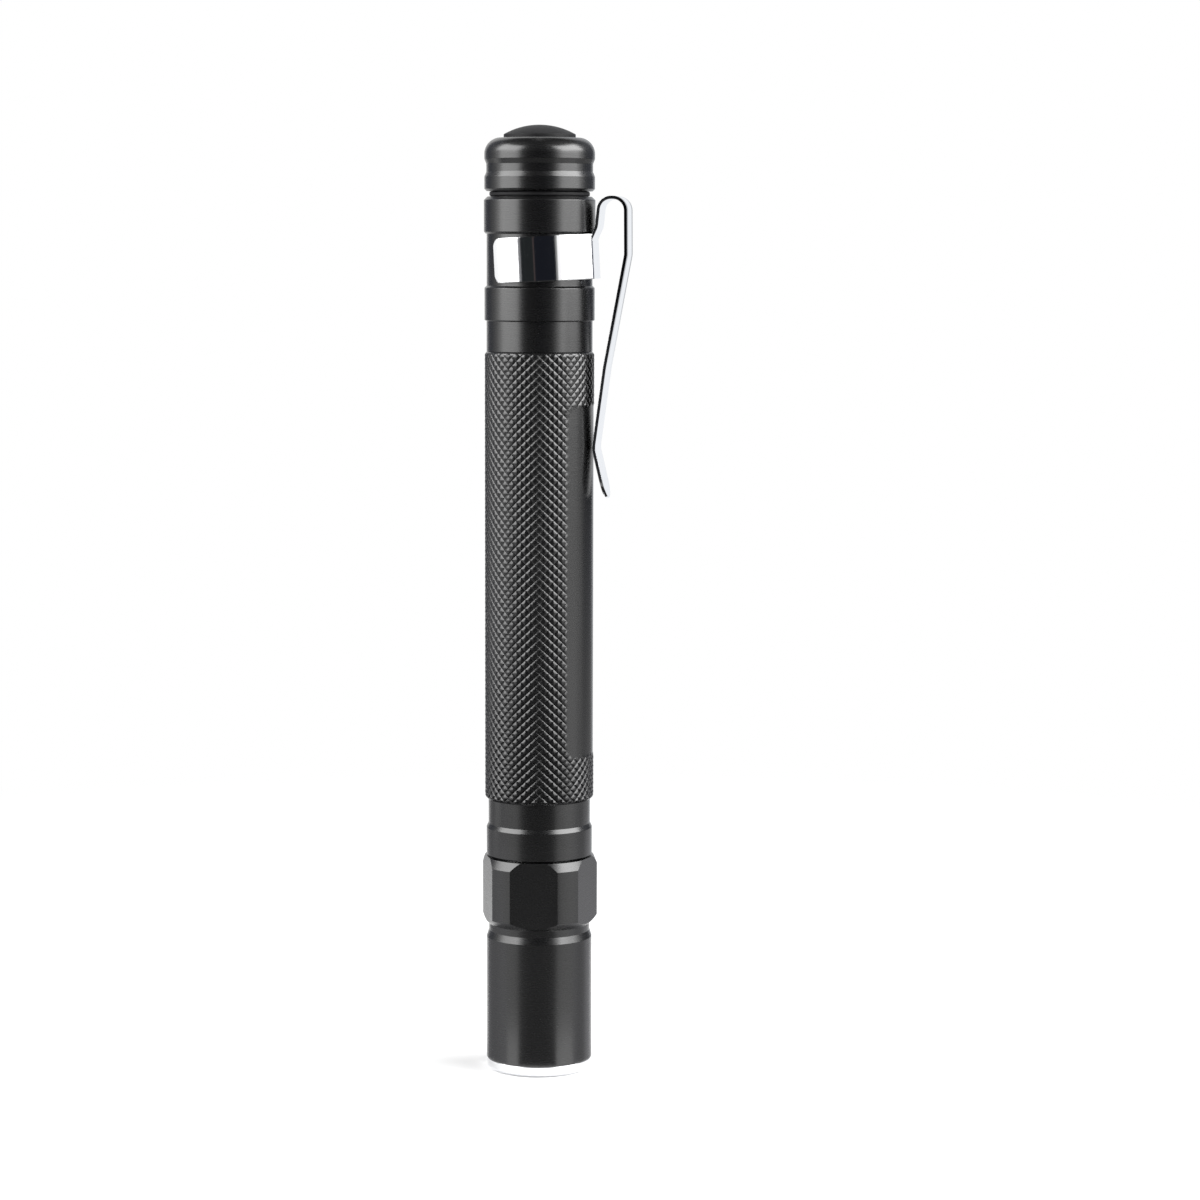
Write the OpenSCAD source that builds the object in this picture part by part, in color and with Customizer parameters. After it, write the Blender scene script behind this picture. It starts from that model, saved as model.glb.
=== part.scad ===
// Slim pen torch for two AAA cells, in millimetres.
// It stands on its front rim: the rim's plane is z = 0, the light shines to -Z,
// +Z runs along the axis to the push button and the pocket clip lies on +X.
// The lengths are stacked from the front rim: optics, heat sink, driver, spring, cells,
// spring, switch, button. The outer steps are then placed around that stack.

/* [Cells] */
// Diameter of one cell over its wrap
cell_d = 10.4; // [9.8:0.1:10.5]
// Length of one cell with its nub
cell_len = 44.5; // [40:0.5:50]
// Diameter of the positive nub
nub_d = 3.8; // [3:0.1:5]
// Height of the positive nub
nub_h = 1; // [0.6:0.1:1.6]
// Thickness of the plastic wrap
wrap_t = 0.1; // [0.05:0.01:0.2]
// Height of the grey seal around the nub
seal_h = 0.4; // [0.2:0.1:0.5]

/* [Front rim and optics] */
// Thickness of the steel rim ring's flange
rim_t = 1.4; // [0.8:0.1:2]
// Outer diameter of the rim ring
rim_d = 13.9; // [13.5:0.1:14]
// Chamfer on the rim ring's front edge
rim_chamfer = 0.4; // [0.2:0.1:0.6]
// Diameter of the opening that the light leaves by
aperture_d = 10.6; // [9:0.1:11]
// Length of the rim ring's skirt inside the barrel
rim_skirt_len = 2.3; // [1.5:0.1:3]
// Wall of the rim ring's skirt
rim_skirt_wall = 0.3; // [0.2:0.05:0.4]
// Diameter of the lens
lens_d = 11.8; // [11.4:0.1:11.9]
// Thickness of the lens
lens_t = 1.2; // [0.8:0.1:1.6]
// Thickness of the lens gasket
gasket_t = 0.8; // [0.5:0.1:1.2]
// Width of the lens gasket's band
gasket_w = 0.7; // [0.4:0.1:0.8]
// Length of the reflector
reflector_len = 7.6; // [6:0.1:10]
// Thickness of the reflector's front rim
reflector_rim_t = 1.2; // [0.8:0.1:2]
// Diameter of the reflector's mouth
reflector_mouth_d = 10.4; // [9:0.1:11]
// Diameter of the hole in the reflector for the emitter
reflector_hole_d = 3.8; // [3:0.1:4.4]
// Wall of the reflector around that hole
reflector_tail_wall = 1; // [0.6:0.1:1.3]

/* [Emitter and driver] */
// Side of the emitter's square base
led_side = 3.4; // [2.8:0.1:3.5]
// Height of the emitter's base
led_h = 0.6; // [0.4:0.1:1]
// Diameter of the emitter's dome
led_dome_d = 2.6; // [2:0.1:2.8]
// Height of the centring collar above the emitter's base
led_lip = 0.6; // [0.3:0.1:1]
// Diameter of the centring collar
led_collar_d = 5.8; // [5.4:0.1:6]
// Diameter of the emitter's board
led_board_d = 10.6; // [10:0.1:10.8]
// Thickness of the emitter's board
led_board_t = 1; // [0.8:0.1:1.6]
// Thickness of the heat sink's plate
plate_t = 1.6; // [1:0.1:2.5]
// Depth of the heat sink's cup
cup_depth = 3.4; // [3:0.1:4]
// Step from the heat sink's rim down to its cup
sink_step = 0.5; // [0.3:0.1:0.8]
// Wall of the heat sink's cup
cup_wall = 0.5; // [0.4:0.1:0.8]
// Thickness of the driver board
driver_t = 0.8; // [0.6:0.1:1]
// Height of the parts on the driver board
driver_part_h = 1.1; // [0.6:0.1:1.2]
// Diameter of a lead wire
wire_d = 0.7; // [0.5:0.1:0.9]
// Distance of the lead wires from the axis
wire_offset = 4.2; // [4:0.1:4.4]
// Height of the front contact spring
front_spring_h = 2.3; // [2:0.1:4]

/* [Barrel and collar] */
// Diameter of the barrel
barrel_d = 14; // [13.8:0.1:16]
// Length of the barrel behind the heat sink's seat
barrel_over = 3; // [2:0.1:5]
// Diameter of the waist between barrel and collar
waist_d = 13.4; // [13:0.1:13.8]
// Length of the waist between its chamfers
waist_len = 0.9; // [0.5:0.1:2]
// Length of the cone from barrel to waist
waist_cone = 0.9; // [0.5:0.1:1.5]
// Diameter of the collar over its round stretches
collar_d = 15.4; // [15:0.1:17]
// Length of the collar
collar_len = 9.1; // [7.5:0.1:12]
// Number of flats around the collar
flat_count = 5; // [4:1:6]
// Distance from the axis to a flat
flat_offset = 7.02; // [6.9:0.01:7.2]
// Turn of the first flat away from the clip, in degrees
flat_turn = -14; // [-36:1:36]
// Length of the cone at the collar's rear end
collar_cone_len = 1.15; // [0.6:0.05:1.6]
// Radial depth of that cone
collar_cone_depth = 0.47; // [0.3:0.01:0.6]

/* [Tube] */
// Gap between cell and bore
cell_clear = 0.25; // [0.15:0.05:0.3]
// Wall of the threaded front neck
front_neck_wall = 0.75; // [0.6:0.05:0.8]
// Gap between the head and the tube's front ring
parting_gap = 0.2; // [0.1:0.05:0.5]
// Diameter of the front ring
front_ring_d = 14; // [13.6:0.1:16]
// Length of the front ring
front_ring_len = 4.4; // [3:0.1:8]
// Diameter of the lower neck
lower_neck_d = 13.46; // [13:0.02:13.9]
// Length of the lower neck
lower_neck_len = 3.1; // [1.5:0.1:6]
// Diameter of the grip
grip_d = 14.4; // [13.8:0.1:14.5]
// Chamfer at both ends of the grip
grip_chamfer = 0.35; // [0.2:0.05:0.6]
// Diameter of the upper neck
upper_neck_d = 13.88; // [13.2:0.02:14]
// Length of the upper neck
upper_neck_len = 4; // [1.5:0.1:6]
// Diameter of the ring in front of the clip
mid_ring_d = 14.42; // [14.1:0.02:14.5]
// Length of the ring in front of the clip
mid_ring_len = 4.7; // [3:0.1:6]
// Diameter of the clip's seat
clip_seat_d = 13.84; // [13.4:0.02:13.9]
// Length of the clip's seat
clip_seat_len = 6.6; // [6.5:0.1:8]
// Diameter of the ring behind the clip
rear_ring_d = 14.56; // [14.1:0.02:14.6]
// Length of the ring behind the clip
rear_ring_len = 4.8; // [3:0.1:6]
// Distance from the cells' rear end to the tube's rear end
rear_reach = 6.2; // [5.8:0.1:7]
// Chamfer on the rings' rear edges
ring_chamfer = 0.45; // [0.2:0.05:0.5]
// Depth of the smooth panel under the clip
panel_depth = 0.1; // [0.1:0.05:0.4]
// Width of the smooth panel
panel_w = 10.8; // [6:0.2:12]
// Length of the smooth panel
panel_len = 46; // [20:1:50]
// Distance from the grip's front end to the panel
panel_start = 6.1; // [2:0.1:8]
// Radius of the panel's corners
panel_corner = 1.2; // [0.5:0.1:2.5]

/* [Seals] */
// Thickness of the front seal
front_seal_t = 0.34; // [0.3:0.02:0.4]
// Length of the front seal
front_seal_len = 1; // [0.6:0.1:1.4]
// Distance from the tube's front ring to the front seal's groove
front_seal_back = 0.8; // [0.6:0.1:2]
// Thickness of the tail seal
tail_seal_t = 0.38; // [0.3:0.02:0.5]

/* [Tail cap] */
// Diameter of the tail cap
cap_d = 14.44; // [14:0.02:15]
// Gap between tube and tail cap
cap_gap = 0.7; // [0.5:0.1:1]
// Wall of the tail cap's threaded skirt
cap_skirt_wall = 0.85; // [0.7:0.05:0.9]
// Thickness of the tail cap's end wall
cap_end_t = 1.4; // [1:0.1:2]
// Radius of the tail cap's rounded rear edge
cap_round = 2.15; // [1.2:0.05:2.4]
// Chamfer on the tail cap's front edge
cap_chamfer = 0.3; // [0.1:0.05:0.4]
// Distance from the tail cap's rear end to its groove
cap_groove_back = 2.73; // [2.5:0.01:3]
// Width of the tail cap's groove with its sloping sides
cap_groove_w = 2.3; // [1.6:0.1:2.4]
// Depth of the tail cap's groove
cap_groove_depth = 0.26; // [0.1:0.02:0.5]
// Length of each sloping side of the groove
cap_groove_slope = 0.64; // [0.2:0.02:0.7]

/* [Button and switch] */
// Diameter of the button where it comes out
button_d = 9.4; // [8:0.1:9.6]
// Height of the button's straight step above the tail cap
button_step = 0.46; // [0.2:0.02:1]
// Radius of the button's dome
button_dome_r = 9.5; // [6:0.1:14]
// Wall of the button's rubber
button_wall = 0.8; // [0.6:0.1:1]
// Thickness of the button's flange
button_flange_t = 0.9; // [0.6:0.1:1.4]
// Travel of the button
button_travel = 1.2; // [0.8:0.1:1.3]
// Thickness of the washer under the button
washer_t = 1; // [0.6:0.1:1.5]
// Diameter of the washer's hole
washer_hole_d = 4.6; // [4:0.1:6]
// Room left under the ratchet with the button pressed
press_room = 1.18; // [1:0.02:2]
// Diameter of the switch's housing
housing_d = 8.4; // [7.6:0.1:8.8]
// Wall of the switch's housing
housing_wall = 0.7; // [0.5:0.1:0.9]
// Diameter of the plunger's stem
stem_d = 3; // [2:0.1:3.6]
// Thickness of the plunger's flange
stem_flange_t = 0.8; // [0.5:0.1:1]
// Height of the ratchet
ratchet_h = 1.1; // [0.8:0.1:1.3]
// Thickness of the switch board
switch_board_t = 0.8; // [0.6:0.1:1.2]
// Height of the tail spring
tail_spring_h = 4.5; // [4:0.1:6]
// Thickness of the retaining ring
retainer_t = 1.5; // [1:0.1:2]
// Width of the retaining ring's band
retainer_w = 1.2; // [0.9:0.1:1.5]
// Width of the retaining ring's two spanner slots
retainer_slot = 1.4; // [1:0.1:2]
// Thickness of the switch's contact strips
contact_t = 0.3; // [0.2:0.05:0.4]

/* [Pocket clip] */
// Thickness of the clip's sheet
clip_t = 0.4; // [0.3:0.05:0.6]
// Width of the clip's arm
clip_w = 5; // [3.5:0.1:6]
// Height of the clip's band
band_h = 5.8; // [5:0.1:5.8]
// Gap between the band and its seat
band_gap = 0.2; // [0.18:0.02:0.4]
// Opening of the band, in degrees
band_open = 96; // [60:1:100]
// Lean of the band in its seat, in degrees
band_lean = 3; // [0:0.5:3]
// Radius of the band's free corners
band_corner = 1.1; // [0.5:0.1:2]
// Gap between the rear ring and the clip's inner leg
loop_gap = 0.8; // [0.5:0.1:1.5]
// Distance between the legs of the clip's loop
loop_w = 3.4; // [2.6:0.1:5]
// Rise of the loop above the band
loop_rise = 5.1; // [4.5:0.1:8]
// Length of the straight behind the loop
shoulder_drop = 7.4; // [6:0.1:12]
// Distance from the loop's crest to where the arm eases its slope
bow_drop = 22; // [18:0.5:26]
// Gap between tube and arm at that place
bow_gap = 1.6; // [1.2:0.1:2.4]
// Distance from the loop's crest to the arm's contact bend
bump_drop = 32.6; // [30:0.1:45]
// Gap between tube and arm at the contact bend
bump_gap = 0.15; // [0.1:0.05:0.5]
// Length of the flared tip
tip_len = 6.55; // [3:0.05:9]
// Outward flare of the tip
tip_flare = 1.56; // [0.5:0.02:3]

/* [Hidden] */
$fn = 96;
// Clearance of pressed and seated pieces
fit = 0.02;
// Clearance of threads and seals that turn
run = 0.05;
// Clearance of pieces dropped in by hand
slip = 0.1;
// Small chamfer that breaks a turned edge
edge = 0.12;
// How far a cutter runs past what it cuts
past = 1;
// Gap above the plunger's flange, which the spring would close in use
stem_gap = 0.2;
// Clearance of the ratchet and the plunger in the switch's housing
switch_clear = 0.5;
// Clearance of a seal in its groove
seal_clear = 0.03;
// Room in front of the tube's threaded neck
neck_room = 0.4;
// Room in front of the tail cap's threaded skirt
skirt_room = 0.6;
// Distance from the cells' rear end back to the tail cap's skirt
skirt_back = 0.3;
// Step from the tube's bore in to the tail cap's bore
cap_bore_step = 0.15;
// Gap between a cell's nub and its seal
nub_gap = 1;
// Largest turn between two points of a sheet's bend, in degrees
bend_step = 9;

// Bores and threads
cell_r = cell_d / 2;
bore_r = cell_r + cell_clear;
front_neck_r = bore_r + front_neck_wall;
head_bore_r = front_neck_r + run;
lens_r = lens_d / 2;
optic_bore_r = lens_r + slip;
rim_skirt_in_r = lens_r + run;
rim_skirt_r = rim_skirt_in_r + rim_skirt_wall;
sink_r = optic_bore_r - run;
sink_cup_r = sink_r - sink_step;
sink_bore_r = sink_cup_r + run;
driver_r = sink_cup_r - cup_wall - fit;
led_board_r = led_board_d / 2;
cap_bore_r = bore_r - cap_bore_step;
module_r = cap_bore_r - run;
cap_skirt_r = cap_bore_r + cap_skirt_wall;
rear_bore_r = cap_skirt_r + run;
button_r = button_d / 2;
button_hole_r = button_r + run;

// Heights of the stack, from the front rim to the button
z_lens = rim_t;
z_gasket = z_lens + lens_t;
z_reflector = z_gasket + gasket_t;
z_collar_lip = z_reflector + reflector_len;
z_led = z_collar_lip + led_lip;
z_led_board = z_led + led_h;
z_plate = z_led_board + led_board_t;
z_sink_seat = z_plate + plate_t;
z_cup_end = z_sink_seat + cup_depth;
z_driver = z_cup_end - driver_t;
z_nub = z_cup_end + front_spring_h;
z_cells_end = z_nub + 2 * cell_len;
z_switch_board = z_cells_end + tail_spring_h;
z_housing = z_switch_board + switch_board_t;
z_ratchet = z_housing + button_travel + press_room;
z_stem_flange = z_ratchet + ratchet_h + fit;
z_housing_top_in = z_stem_flange + stem_flange_t + stem_gap;
z_washer = z_housing_top_in + housing_wall;
z_button_flange = z_washer + washer_t;
z_cap_wall = z_button_flange + button_flange_t;
z_cap_end = z_cap_wall + cap_end_t;
z_button_step = z_cap_end + button_step;
dome_rise = button_dome_r - sqrt(pow(button_dome_r, 2) - pow(button_r, 2));
z_button_top = z_button_step + dome_rise;
z_dome_centre = z_button_top - button_dome_r;
button_hollow_r = button_dome_r - button_wall;
z_stem_top = z_dome_centre + sqrt(pow(button_hollow_r, 2) - pow(stem_d / 2, 2)) - run;

// Heights of the outer steps
z_barrel_end = z_sink_seat + barrel_over;
z_waist = z_barrel_end + waist_cone;
z_collar = z_waist + waist_len;
z_collar_end = z_collar + collar_len;
z_tube = z_nub + nub_h + slip;
z_head_bore = z_tube - neck_room;
z_front_ring = z_collar_end + parting_gap;
z_lower_neck = z_front_ring + front_ring_len;
z_grip = z_lower_neck + lower_neck_len;
z_tube_end = z_cells_end + rear_reach;
z_rear_ring = z_tube_end - rear_ring_len;
z_clip_seat = z_rear_ring - clip_seat_len;
z_mid_ring = z_clip_seat - mid_ring_len;
z_grip_end = z_mid_ring - upper_neck_len;
z_cap = z_tube_end + cap_gap;
z_cap_skirt = z_cells_end + skirt_back;
z_rear_bore = z_cap_skirt - skirt_room;
z_front_seal = z_front_ring - front_seal_back - front_seal_len;

// Switch and springs: a spring's wire, its radius at both ends and its turns
housing_in_r = housing_d / 2 - housing_wall;
ratchet_r = housing_in_r - switch_clear;
switch_spring_wire_r = 0.1;
switch_spring_r = ratchet_r - 0.6;
switch_spring_turns = 4;
front_spring_wire_r = 0.2;
front_spring_r = [2.4, 1.2];
front_spring_turns = 2.5;
tail_spring_wire_r = 0.25;
tail_spring_r = [2, 3.4];
tail_spring_turns = 4.5;

// Clip
clip_seat_r = clip_seat_d / 2;
grip_r = grip_d / 2;
band_r = clip_seat_r + band_gap;
band_mid_r = band_r + clip_t / 2;
z_band_mid = z_clip_seat + clip_seat_len / 2;
z_band_top = z_band_mid + band_h / 2;
z_loop = z_band_top + loop_rise;
x_inner_leg = rear_ring_d / 2 + loop_gap + clip_t / 2;
x_outer_leg = x_inner_leg + loop_w;
x_crest = (x_inner_leg + x_outer_leg) / 2;
root_depth = 1.2;
root_rise = 0.3;
kick_rise = 1.3;
kick_short = 0.4;
x_root = band_mid_r * cos(band_lean) - (band_h - root_depth) / 2 * sin(band_lean);
x_bow = grip_r + bow_gap + clip_t / 2;
x_bump = grip_r + bump_gap + clip_t / 2;
z_bump = z_loop - bump_drop;
shoulder_out = 0.05;
root_bend = 0.5;
kick_bend = 2;
loop_bend = loop_w / 2 - fit;
shoulder_bend = 2.5;
bow_bend = 12;
bump_bend = 3;
crest = [x_crest, z_loop, 0];
// Corners of the clip's spine: x, z and the radius of the bend
band_leg = [
    [x_root, z_band_top - root_depth, 0],
    [x_root, z_band_top - root_rise, root_bend],
    [x_inner_leg - kick_short, z_band_top + kick_rise, kick_bend],
    [x_inner_leg, z_loop, loop_bend],
    crest
];
arm_leg = [
    crest,
    [x_outer_leg, z_loop, loop_bend],
    [x_outer_leg + shoulder_out, z_loop - shoulder_drop, shoulder_bend],
    [x_bow, z_loop - bow_drop, bow_bend],
    [x_bump, z_bump, bump_bend],
    [x_bump + tip_flare, z_bump - tip_len, 0]
];

// A ring with a round hole, between two heights
module ring(outer_r, inner_r, z_from, z_to) {
    translate([0, 0, z_from]) difference() {
        cylinder(r = outer_r, h = z_to - z_from);
        translate([0, 0, -past]) cylinder(r = inner_r, h = z_to - z_from + 2 * past);
    }
}

// A plain round cutter or disc, between two heights
module disc(r, z_from, z_to) {
    translate([0, 0, z_from]) cylinder(r = r, h = z_to - z_from);
}

// A seal whose section is straight sided with round ends
module seal(inner_r, thick, z_from, z_to) {
    rotate_extrude() {
        translate([inner_r, z_from + thick / 2]) square([thick, z_to - z_from - thick]);
        translate([inner_r + thick / 2, z_from + thick / 2]) circle(r = thick / 2, $fn = 32);
        translate([inner_r + thick / 2, z_to - thick / 2]) circle(r = thick / 2, $fn = 32);
    }
}

// Point on a coil: its radius goes from r_from to r_to as it climbs, s runs from 0 to 1
function coil_point(r_from, r_to, z_from, z_to, turns, s, wire_r, side) =
    let (
        turn = 360 * turns * s,
        r = r_from + (r_to - r_from) * s + wire_r * cos(side),
        z = z_from + (z_to - z_from) * s + wire_r * sin(side)
    )
    [r * cos(turn), r * sin(turn), z];

// A wound spring of round wire, one unbroken six-sided tube
module coil(r_from, r_to, z_from, z_to, turns, wire_r) {
    sides = 6;
    steps_a_turn = 15;
    steps = ceil(turns * steps_a_turn);
    points = [for (i = [0 : steps], j = [0 : sides - 1])
        coil_point(r_from, r_to, z_from + wire_r, z_to - wire_r, turns, i / steps, wire_r,
            j * 360 / sides)];
    walls = [for (i = [0 : steps - 1], j = [0 : sides - 1])
        let (a = i * sides + j, b = i * sides + (j + 1) % sides)
        each [[a, b, b + sides], [a, b + sides, a + sides]]];
    first = [for (j = [1 : sides - 2]) [0, j + 1, j]];
    base = steps * sides;
    last = [for (j = [1 : sides - 2]) [base, base + j, base + j + 1]];
    polyhedron(points = points, faces = concat(walls, first, last), convexity = 10);
}

// Heading from one point of a sheet's spine to another, in degrees
function heading(a, b) = atan2(b[1] - a[1], b[0] - a[0]);

// Turn at a corner of the spine, brought between -180 and 180 degrees
function bend(a, b, c) = (heading(b, c) - heading(a, b) + 540) % 360 - 180;

// Points along the bend at corner b, each with its heading
function bend_points(a, b, c) =
    let (
        turn = bend(a, b, c),
        way = sign(turn),
        start = heading(a, b),
        back = b[2] * tan(abs(turn) / 2),
        from = [b[0] - back * cos(start), b[1] - back * sin(start)],
        centre = [from[0] - way * b[2] * sin(start), from[1] + way * b[2] * cos(start)],
        count = max(2, ceil(abs(turn) / bend_step))
    )
    [for (i = [0 : count])
        let (now = start + turn * i / count)
        [centre[0] + way * b[2] * sin(now), centre[1] - way * b[2] * cos(now), now]];

// Spine of a bent sheet: the corners are rounded with their own radii
function spine(corners) =
    let (n = len(corners))
    concat(
        [[corners[0][0], corners[0][1], heading(corners[0], corners[1])]],
        [for (i = [1 : n - 2]) each bend_points(corners[i - 1], corners[i], corners[i + 1])],
        [[corners[n - 1][0], corners[n - 1][1], heading(corners[n - 2], corners[n - 1])]]
    );

// A strip of sheet, bent along its spine in the XZ plane
module bent_strip(corners, thick, wide) {
    line = spine(corners);
    upper = [for (p = line) [p[0] - thick / 2 * sin(p[2]), p[1] + thick / 2 * cos(p[2])]];
    lower = [for (p = line) [p[0] + thick / 2 * sin(p[2]), p[1] - thick / 2 * cos(p[2])]];
    outline = concat(upper, [for (i = [len(lower) - 1 : -1 : 0]) lower[i]]);
    rotate([90, 0, 0]) linear_extrude(height = wide, center = true) polygon(outline);
}

// A flat rectangle with round corners, centred on the origin
module rounded_rectangle(length, width, corner) {
    square([length - 2 * corner, width], center = true);
    square([length, width - 2 * corner], center = true);
    for (x = [-1, 1], y = [-1, 1])
        translate([x * (length / 2 - corner), y * (width / 2 - corner)]) circle(r = corner);
}

// Polished steel ring pressed into the barrel's mouth, its skirt around the lens
module rim_ring() {
    rim_r = rim_d / 2;
    in_r = aperture_d / 2;
    skirt_end = rim_t + rim_skirt_len;
    color("silver") rotate_extrude() polygon([
        [in_r + rim_chamfer, 0], [rim_r - rim_chamfer, 0], [rim_r, rim_chamfer],
        [rim_r, rim_t], [rim_skirt_r, rim_t], [rim_skirt_r, skirt_end],
        [rim_skirt_in_r, skirt_end], [rim_skirt_in_r, rim_t], [in_r, rim_t],
        [in_r, rim_chamfer]
    ]);
}

// Clear window behind the rim ring
module lens() {
    color("lightcyan", 0.5) disc(lens_r, z_lens + fit, z_gasket);
}

// Black rubber ring between the lens and the reflector
module lens_gasket() {
    color("dimgray") ring(lens_r, lens_r - gasket_w, z_gasket, z_reflector);
}

// Parabolic reflector: its wall follows r^2 = hole^2 + k * depth, with its points
// closer together towards the hole
module reflector() {
    mouth_r = reflector_mouth_d / 2;
    hole_r = reflector_hole_d / 2;
    k = (pow(mouth_r, 2) - pow(hole_r, 2)) / reflector_len;
    steps = 14;
    bowl = [for (i = [0 : steps])
        let (depth = reflector_len * pow(1 - i / steps, 1.5))
        [sqrt(pow(hole_r, 2) + k * depth), z_collar_lip - depth]];
    color("gainsboro") rotate_extrude() polygon(concat(bowl, [
        [hole_r + reflector_tail_wall, z_collar_lip],
        [lens_r, z_reflector + reflector_rim_t],
        [lens_r, z_reflector]
    ]));
}

// White plastic collar that centres the emitter under the reflector
module led_collar() {
    color("white") difference() {
        disc(led_collar_d / 2, z_collar_lip, z_led_board);
        disc(led_dome_d / 2 + slip, z_collar_lip - past, z_led + past);
        translate([0, 0, z_led + led_h / 2 + past / 2])
            cube([led_side + slip, led_side + slip, led_h + past], center = true);
    }
}

// Clear dome over the emitter's chip
module led_dome() {
    color("khaki", 0.8) difference() {
        translate([0, 0, z_led]) sphere(d = led_dome_d);
        disc(led_dome_d, z_led, z_led + led_dome_d);
    }
}

// Square ceramic base of the emitter
module led_base() {
    color("ivory") translate([0, 0, z_led + led_h / 2])
        cube([led_side, led_side, led_h], center = true);
}

// Round board that the emitter is soldered to, with a hole for each lead wire
module led_board() {
    color("white") difference() {
        disc(led_board_r, z_led_board, z_plate);
        for (side = [-1, 1])
            translate([0, side * wire_offset, 0])
                disc(wire_d / 2 + slip, z_led_board - past, z_plate + past);
    }
}

// Brass heat sink: a rim around the board, a thick plate and a cup for the driver
module heat_sink() {
    color("goldenrod") difference() {
        union() {
            ring(sink_r, led_board_r + run, z_led_board, z_plate);
            disc(sink_r, z_plate, z_sink_seat);
            ring(sink_cup_r, sink_cup_r - cup_wall, z_sink_seat, z_cup_end);
        }
        for (side = [-1, 1])
            translate([0, side * wire_offset, 0])
                disc(wire_d / 2 + slip, z_plate - past, z_sink_seat + past);
    }
}

// A lead wire: forward from the driver through plate and board, then over to its pad
module lead_wire(side) {
    z_bend = z_led_board - wire_d / 2 - fit;
    pad = led_collar_d / 2 + slip;
    translate([0, side * wire_offset, z_bend]) sphere(d = wire_d);
    translate([0, side * wire_offset, z_bend]) cylinder(d = wire_d, h = z_driver - z_bend);
    translate([0, side * pad, z_bend]) rotate([-90 * side, 0, 0])
        cylinder(d = wire_d, h = wire_offset - pad);
}

// Red lead wire
module lead_wire_plus() { color("firebrick") lead_wire(1); }

// Black lead wire
module lead_wire_minus() { color("dimgray") lead_wire(-1); }

// Chip and choke on the driver board's inner side
module driver_parts() {
    chip = [2, 2.6, 0.8 * driver_part_h];
    choke = [2.4, 2.8, driver_part_h];
    apart = 0.8;
    color("black") {
        translate([-apart / 2 - chip[0], -chip[1] / 2, z_driver - chip[2]]) cube(chip);
        translate([apart / 2, -choke[1] / 2, z_driver - choke[2]]) cube(choke);
    }
}

// Driver board in the heat sink's cup
module driver_board() {
    color("darkgreen") disc(driver_r, z_driver, z_cup_end);
}

// Contact spring between the driver board and the front cell
module front_spring() {
    color("silver")
        coil(front_spring_r[0], front_spring_r[1], z_cup_end + fit, z_nub - fit,
            front_spring_turns, front_spring_wire_r);
}

// Black aluminium head: barrel, waist and a collar with flats, bored from both ends
module head_shell() {
    barrel_r = barrel_d / 2;
    waist_r = waist_d / 2;
    collar_r = collar_d / 2;
    color("#1c1c1e") difference() {
        rotate_extrude() polygon([
            [0, rim_t], [barrel_r - edge, rim_t], [barrel_r, rim_t + edge],
            [barrel_r, z_barrel_end], [waist_r, z_waist], [waist_r, z_collar],
            [collar_r, z_collar + collar_r - waist_r],
            [collar_r, z_collar_end - collar_cone_len],
            [collar_r - collar_cone_depth, z_collar_end], [0, z_collar_end]
        ]);
        for (i = [0 : flat_count - 1])
            rotate(flat_turn + i * 360 / flat_count)
                translate([flat_offset, -collar_d / 2, z_collar - past])
                    cube([collar_d / 2, collar_d, collar_len + 2 * past]);
        disc(rim_skirt_r + fit, rim_t - past, rim_t + rim_skirt_len + slip);
        disc(optic_bore_r, rim_t, z_sink_seat);
        disc(sink_bore_r, rim_t, z_head_bore + past);
        disc(head_bore_r, z_head_bore, z_collar_end + past);
    }
}

// Rubber seal in the groove of the tube's front neck
module front_seal() {
    color("#151515") seal(head_bore_r - seal_clear - front_seal_t, front_seal_t,
        z_front_seal, z_front_seal + front_seal_len);
}

// Black aluminium tube: threaded neck, rings, grip with its smooth panel, clip seat
module body_tube() {
    front_ring_r = front_ring_d / 2;
    lower_neck_r = lower_neck_d / 2;
    upper_neck_r = upper_neck_d / 2;
    mid_ring_r = mid_ring_d / 2;
    rear_ring_r = rear_ring_d / 2;
    panel_floor_r = grip_r - panel_depth;
    panel_mid = z_grip + panel_start + panel_len / 2;
    color("#1c1c1e") difference() {
        rotate_extrude() polygon([
            [0, z_tube], [front_neck_r - ring_chamfer, z_tube],
            [front_neck_r, z_tube + ring_chamfer], [front_neck_r, z_front_ring],
            [front_ring_r - edge, z_front_ring], [front_ring_r, z_front_ring + edge],
            [front_ring_r, z_lower_neck - ring_chamfer],
            [front_ring_r - ring_chamfer, z_lower_neck], [lower_neck_r, z_lower_neck],
            [lower_neck_r, z_grip], [grip_r - grip_chamfer, z_grip],
            [grip_r, z_grip + grip_chamfer], [grip_r, z_grip_end - grip_chamfer],
            [grip_r - grip_chamfer, z_grip_end], [upper_neck_r, z_grip_end],
            [upper_neck_r, z_mid_ring], [mid_ring_r - edge, z_mid_ring],
            [mid_ring_r, z_mid_ring + edge], [mid_ring_r, z_clip_seat - ring_chamfer],
            [mid_ring_r - ring_chamfer, z_clip_seat], [clip_seat_r, z_clip_seat],
            [clip_seat_r, z_rear_ring], [rear_ring_r - 2 * edge, z_rear_ring],
            [rear_ring_r, z_rear_ring + 2 * edge], [rear_ring_r, z_tube_end - ring_chamfer],
            [rear_ring_r - ring_chamfer, z_tube_end], [0, z_tube_end]
        ]);
        disc(bore_r, z_tube - past, z_tube_end);
        disc(rear_bore_r, z_rear_bore, z_tube_end + past);
        ring(front_neck_r + past, head_bore_r - 2 * seal_clear - front_seal_t,
            z_front_seal - slip, z_front_seal + front_seal_len + slip);
        intersection() {
            ring(grip_r + past, panel_floor_r, z_grip, z_grip_end);
            translate([0, 0, panel_mid]) rotate([0, 90, 0]) linear_extrude(height = grip_d)
                rounded_rectangle(panel_len, panel_w, panel_corner);
        }
    }
}

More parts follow.
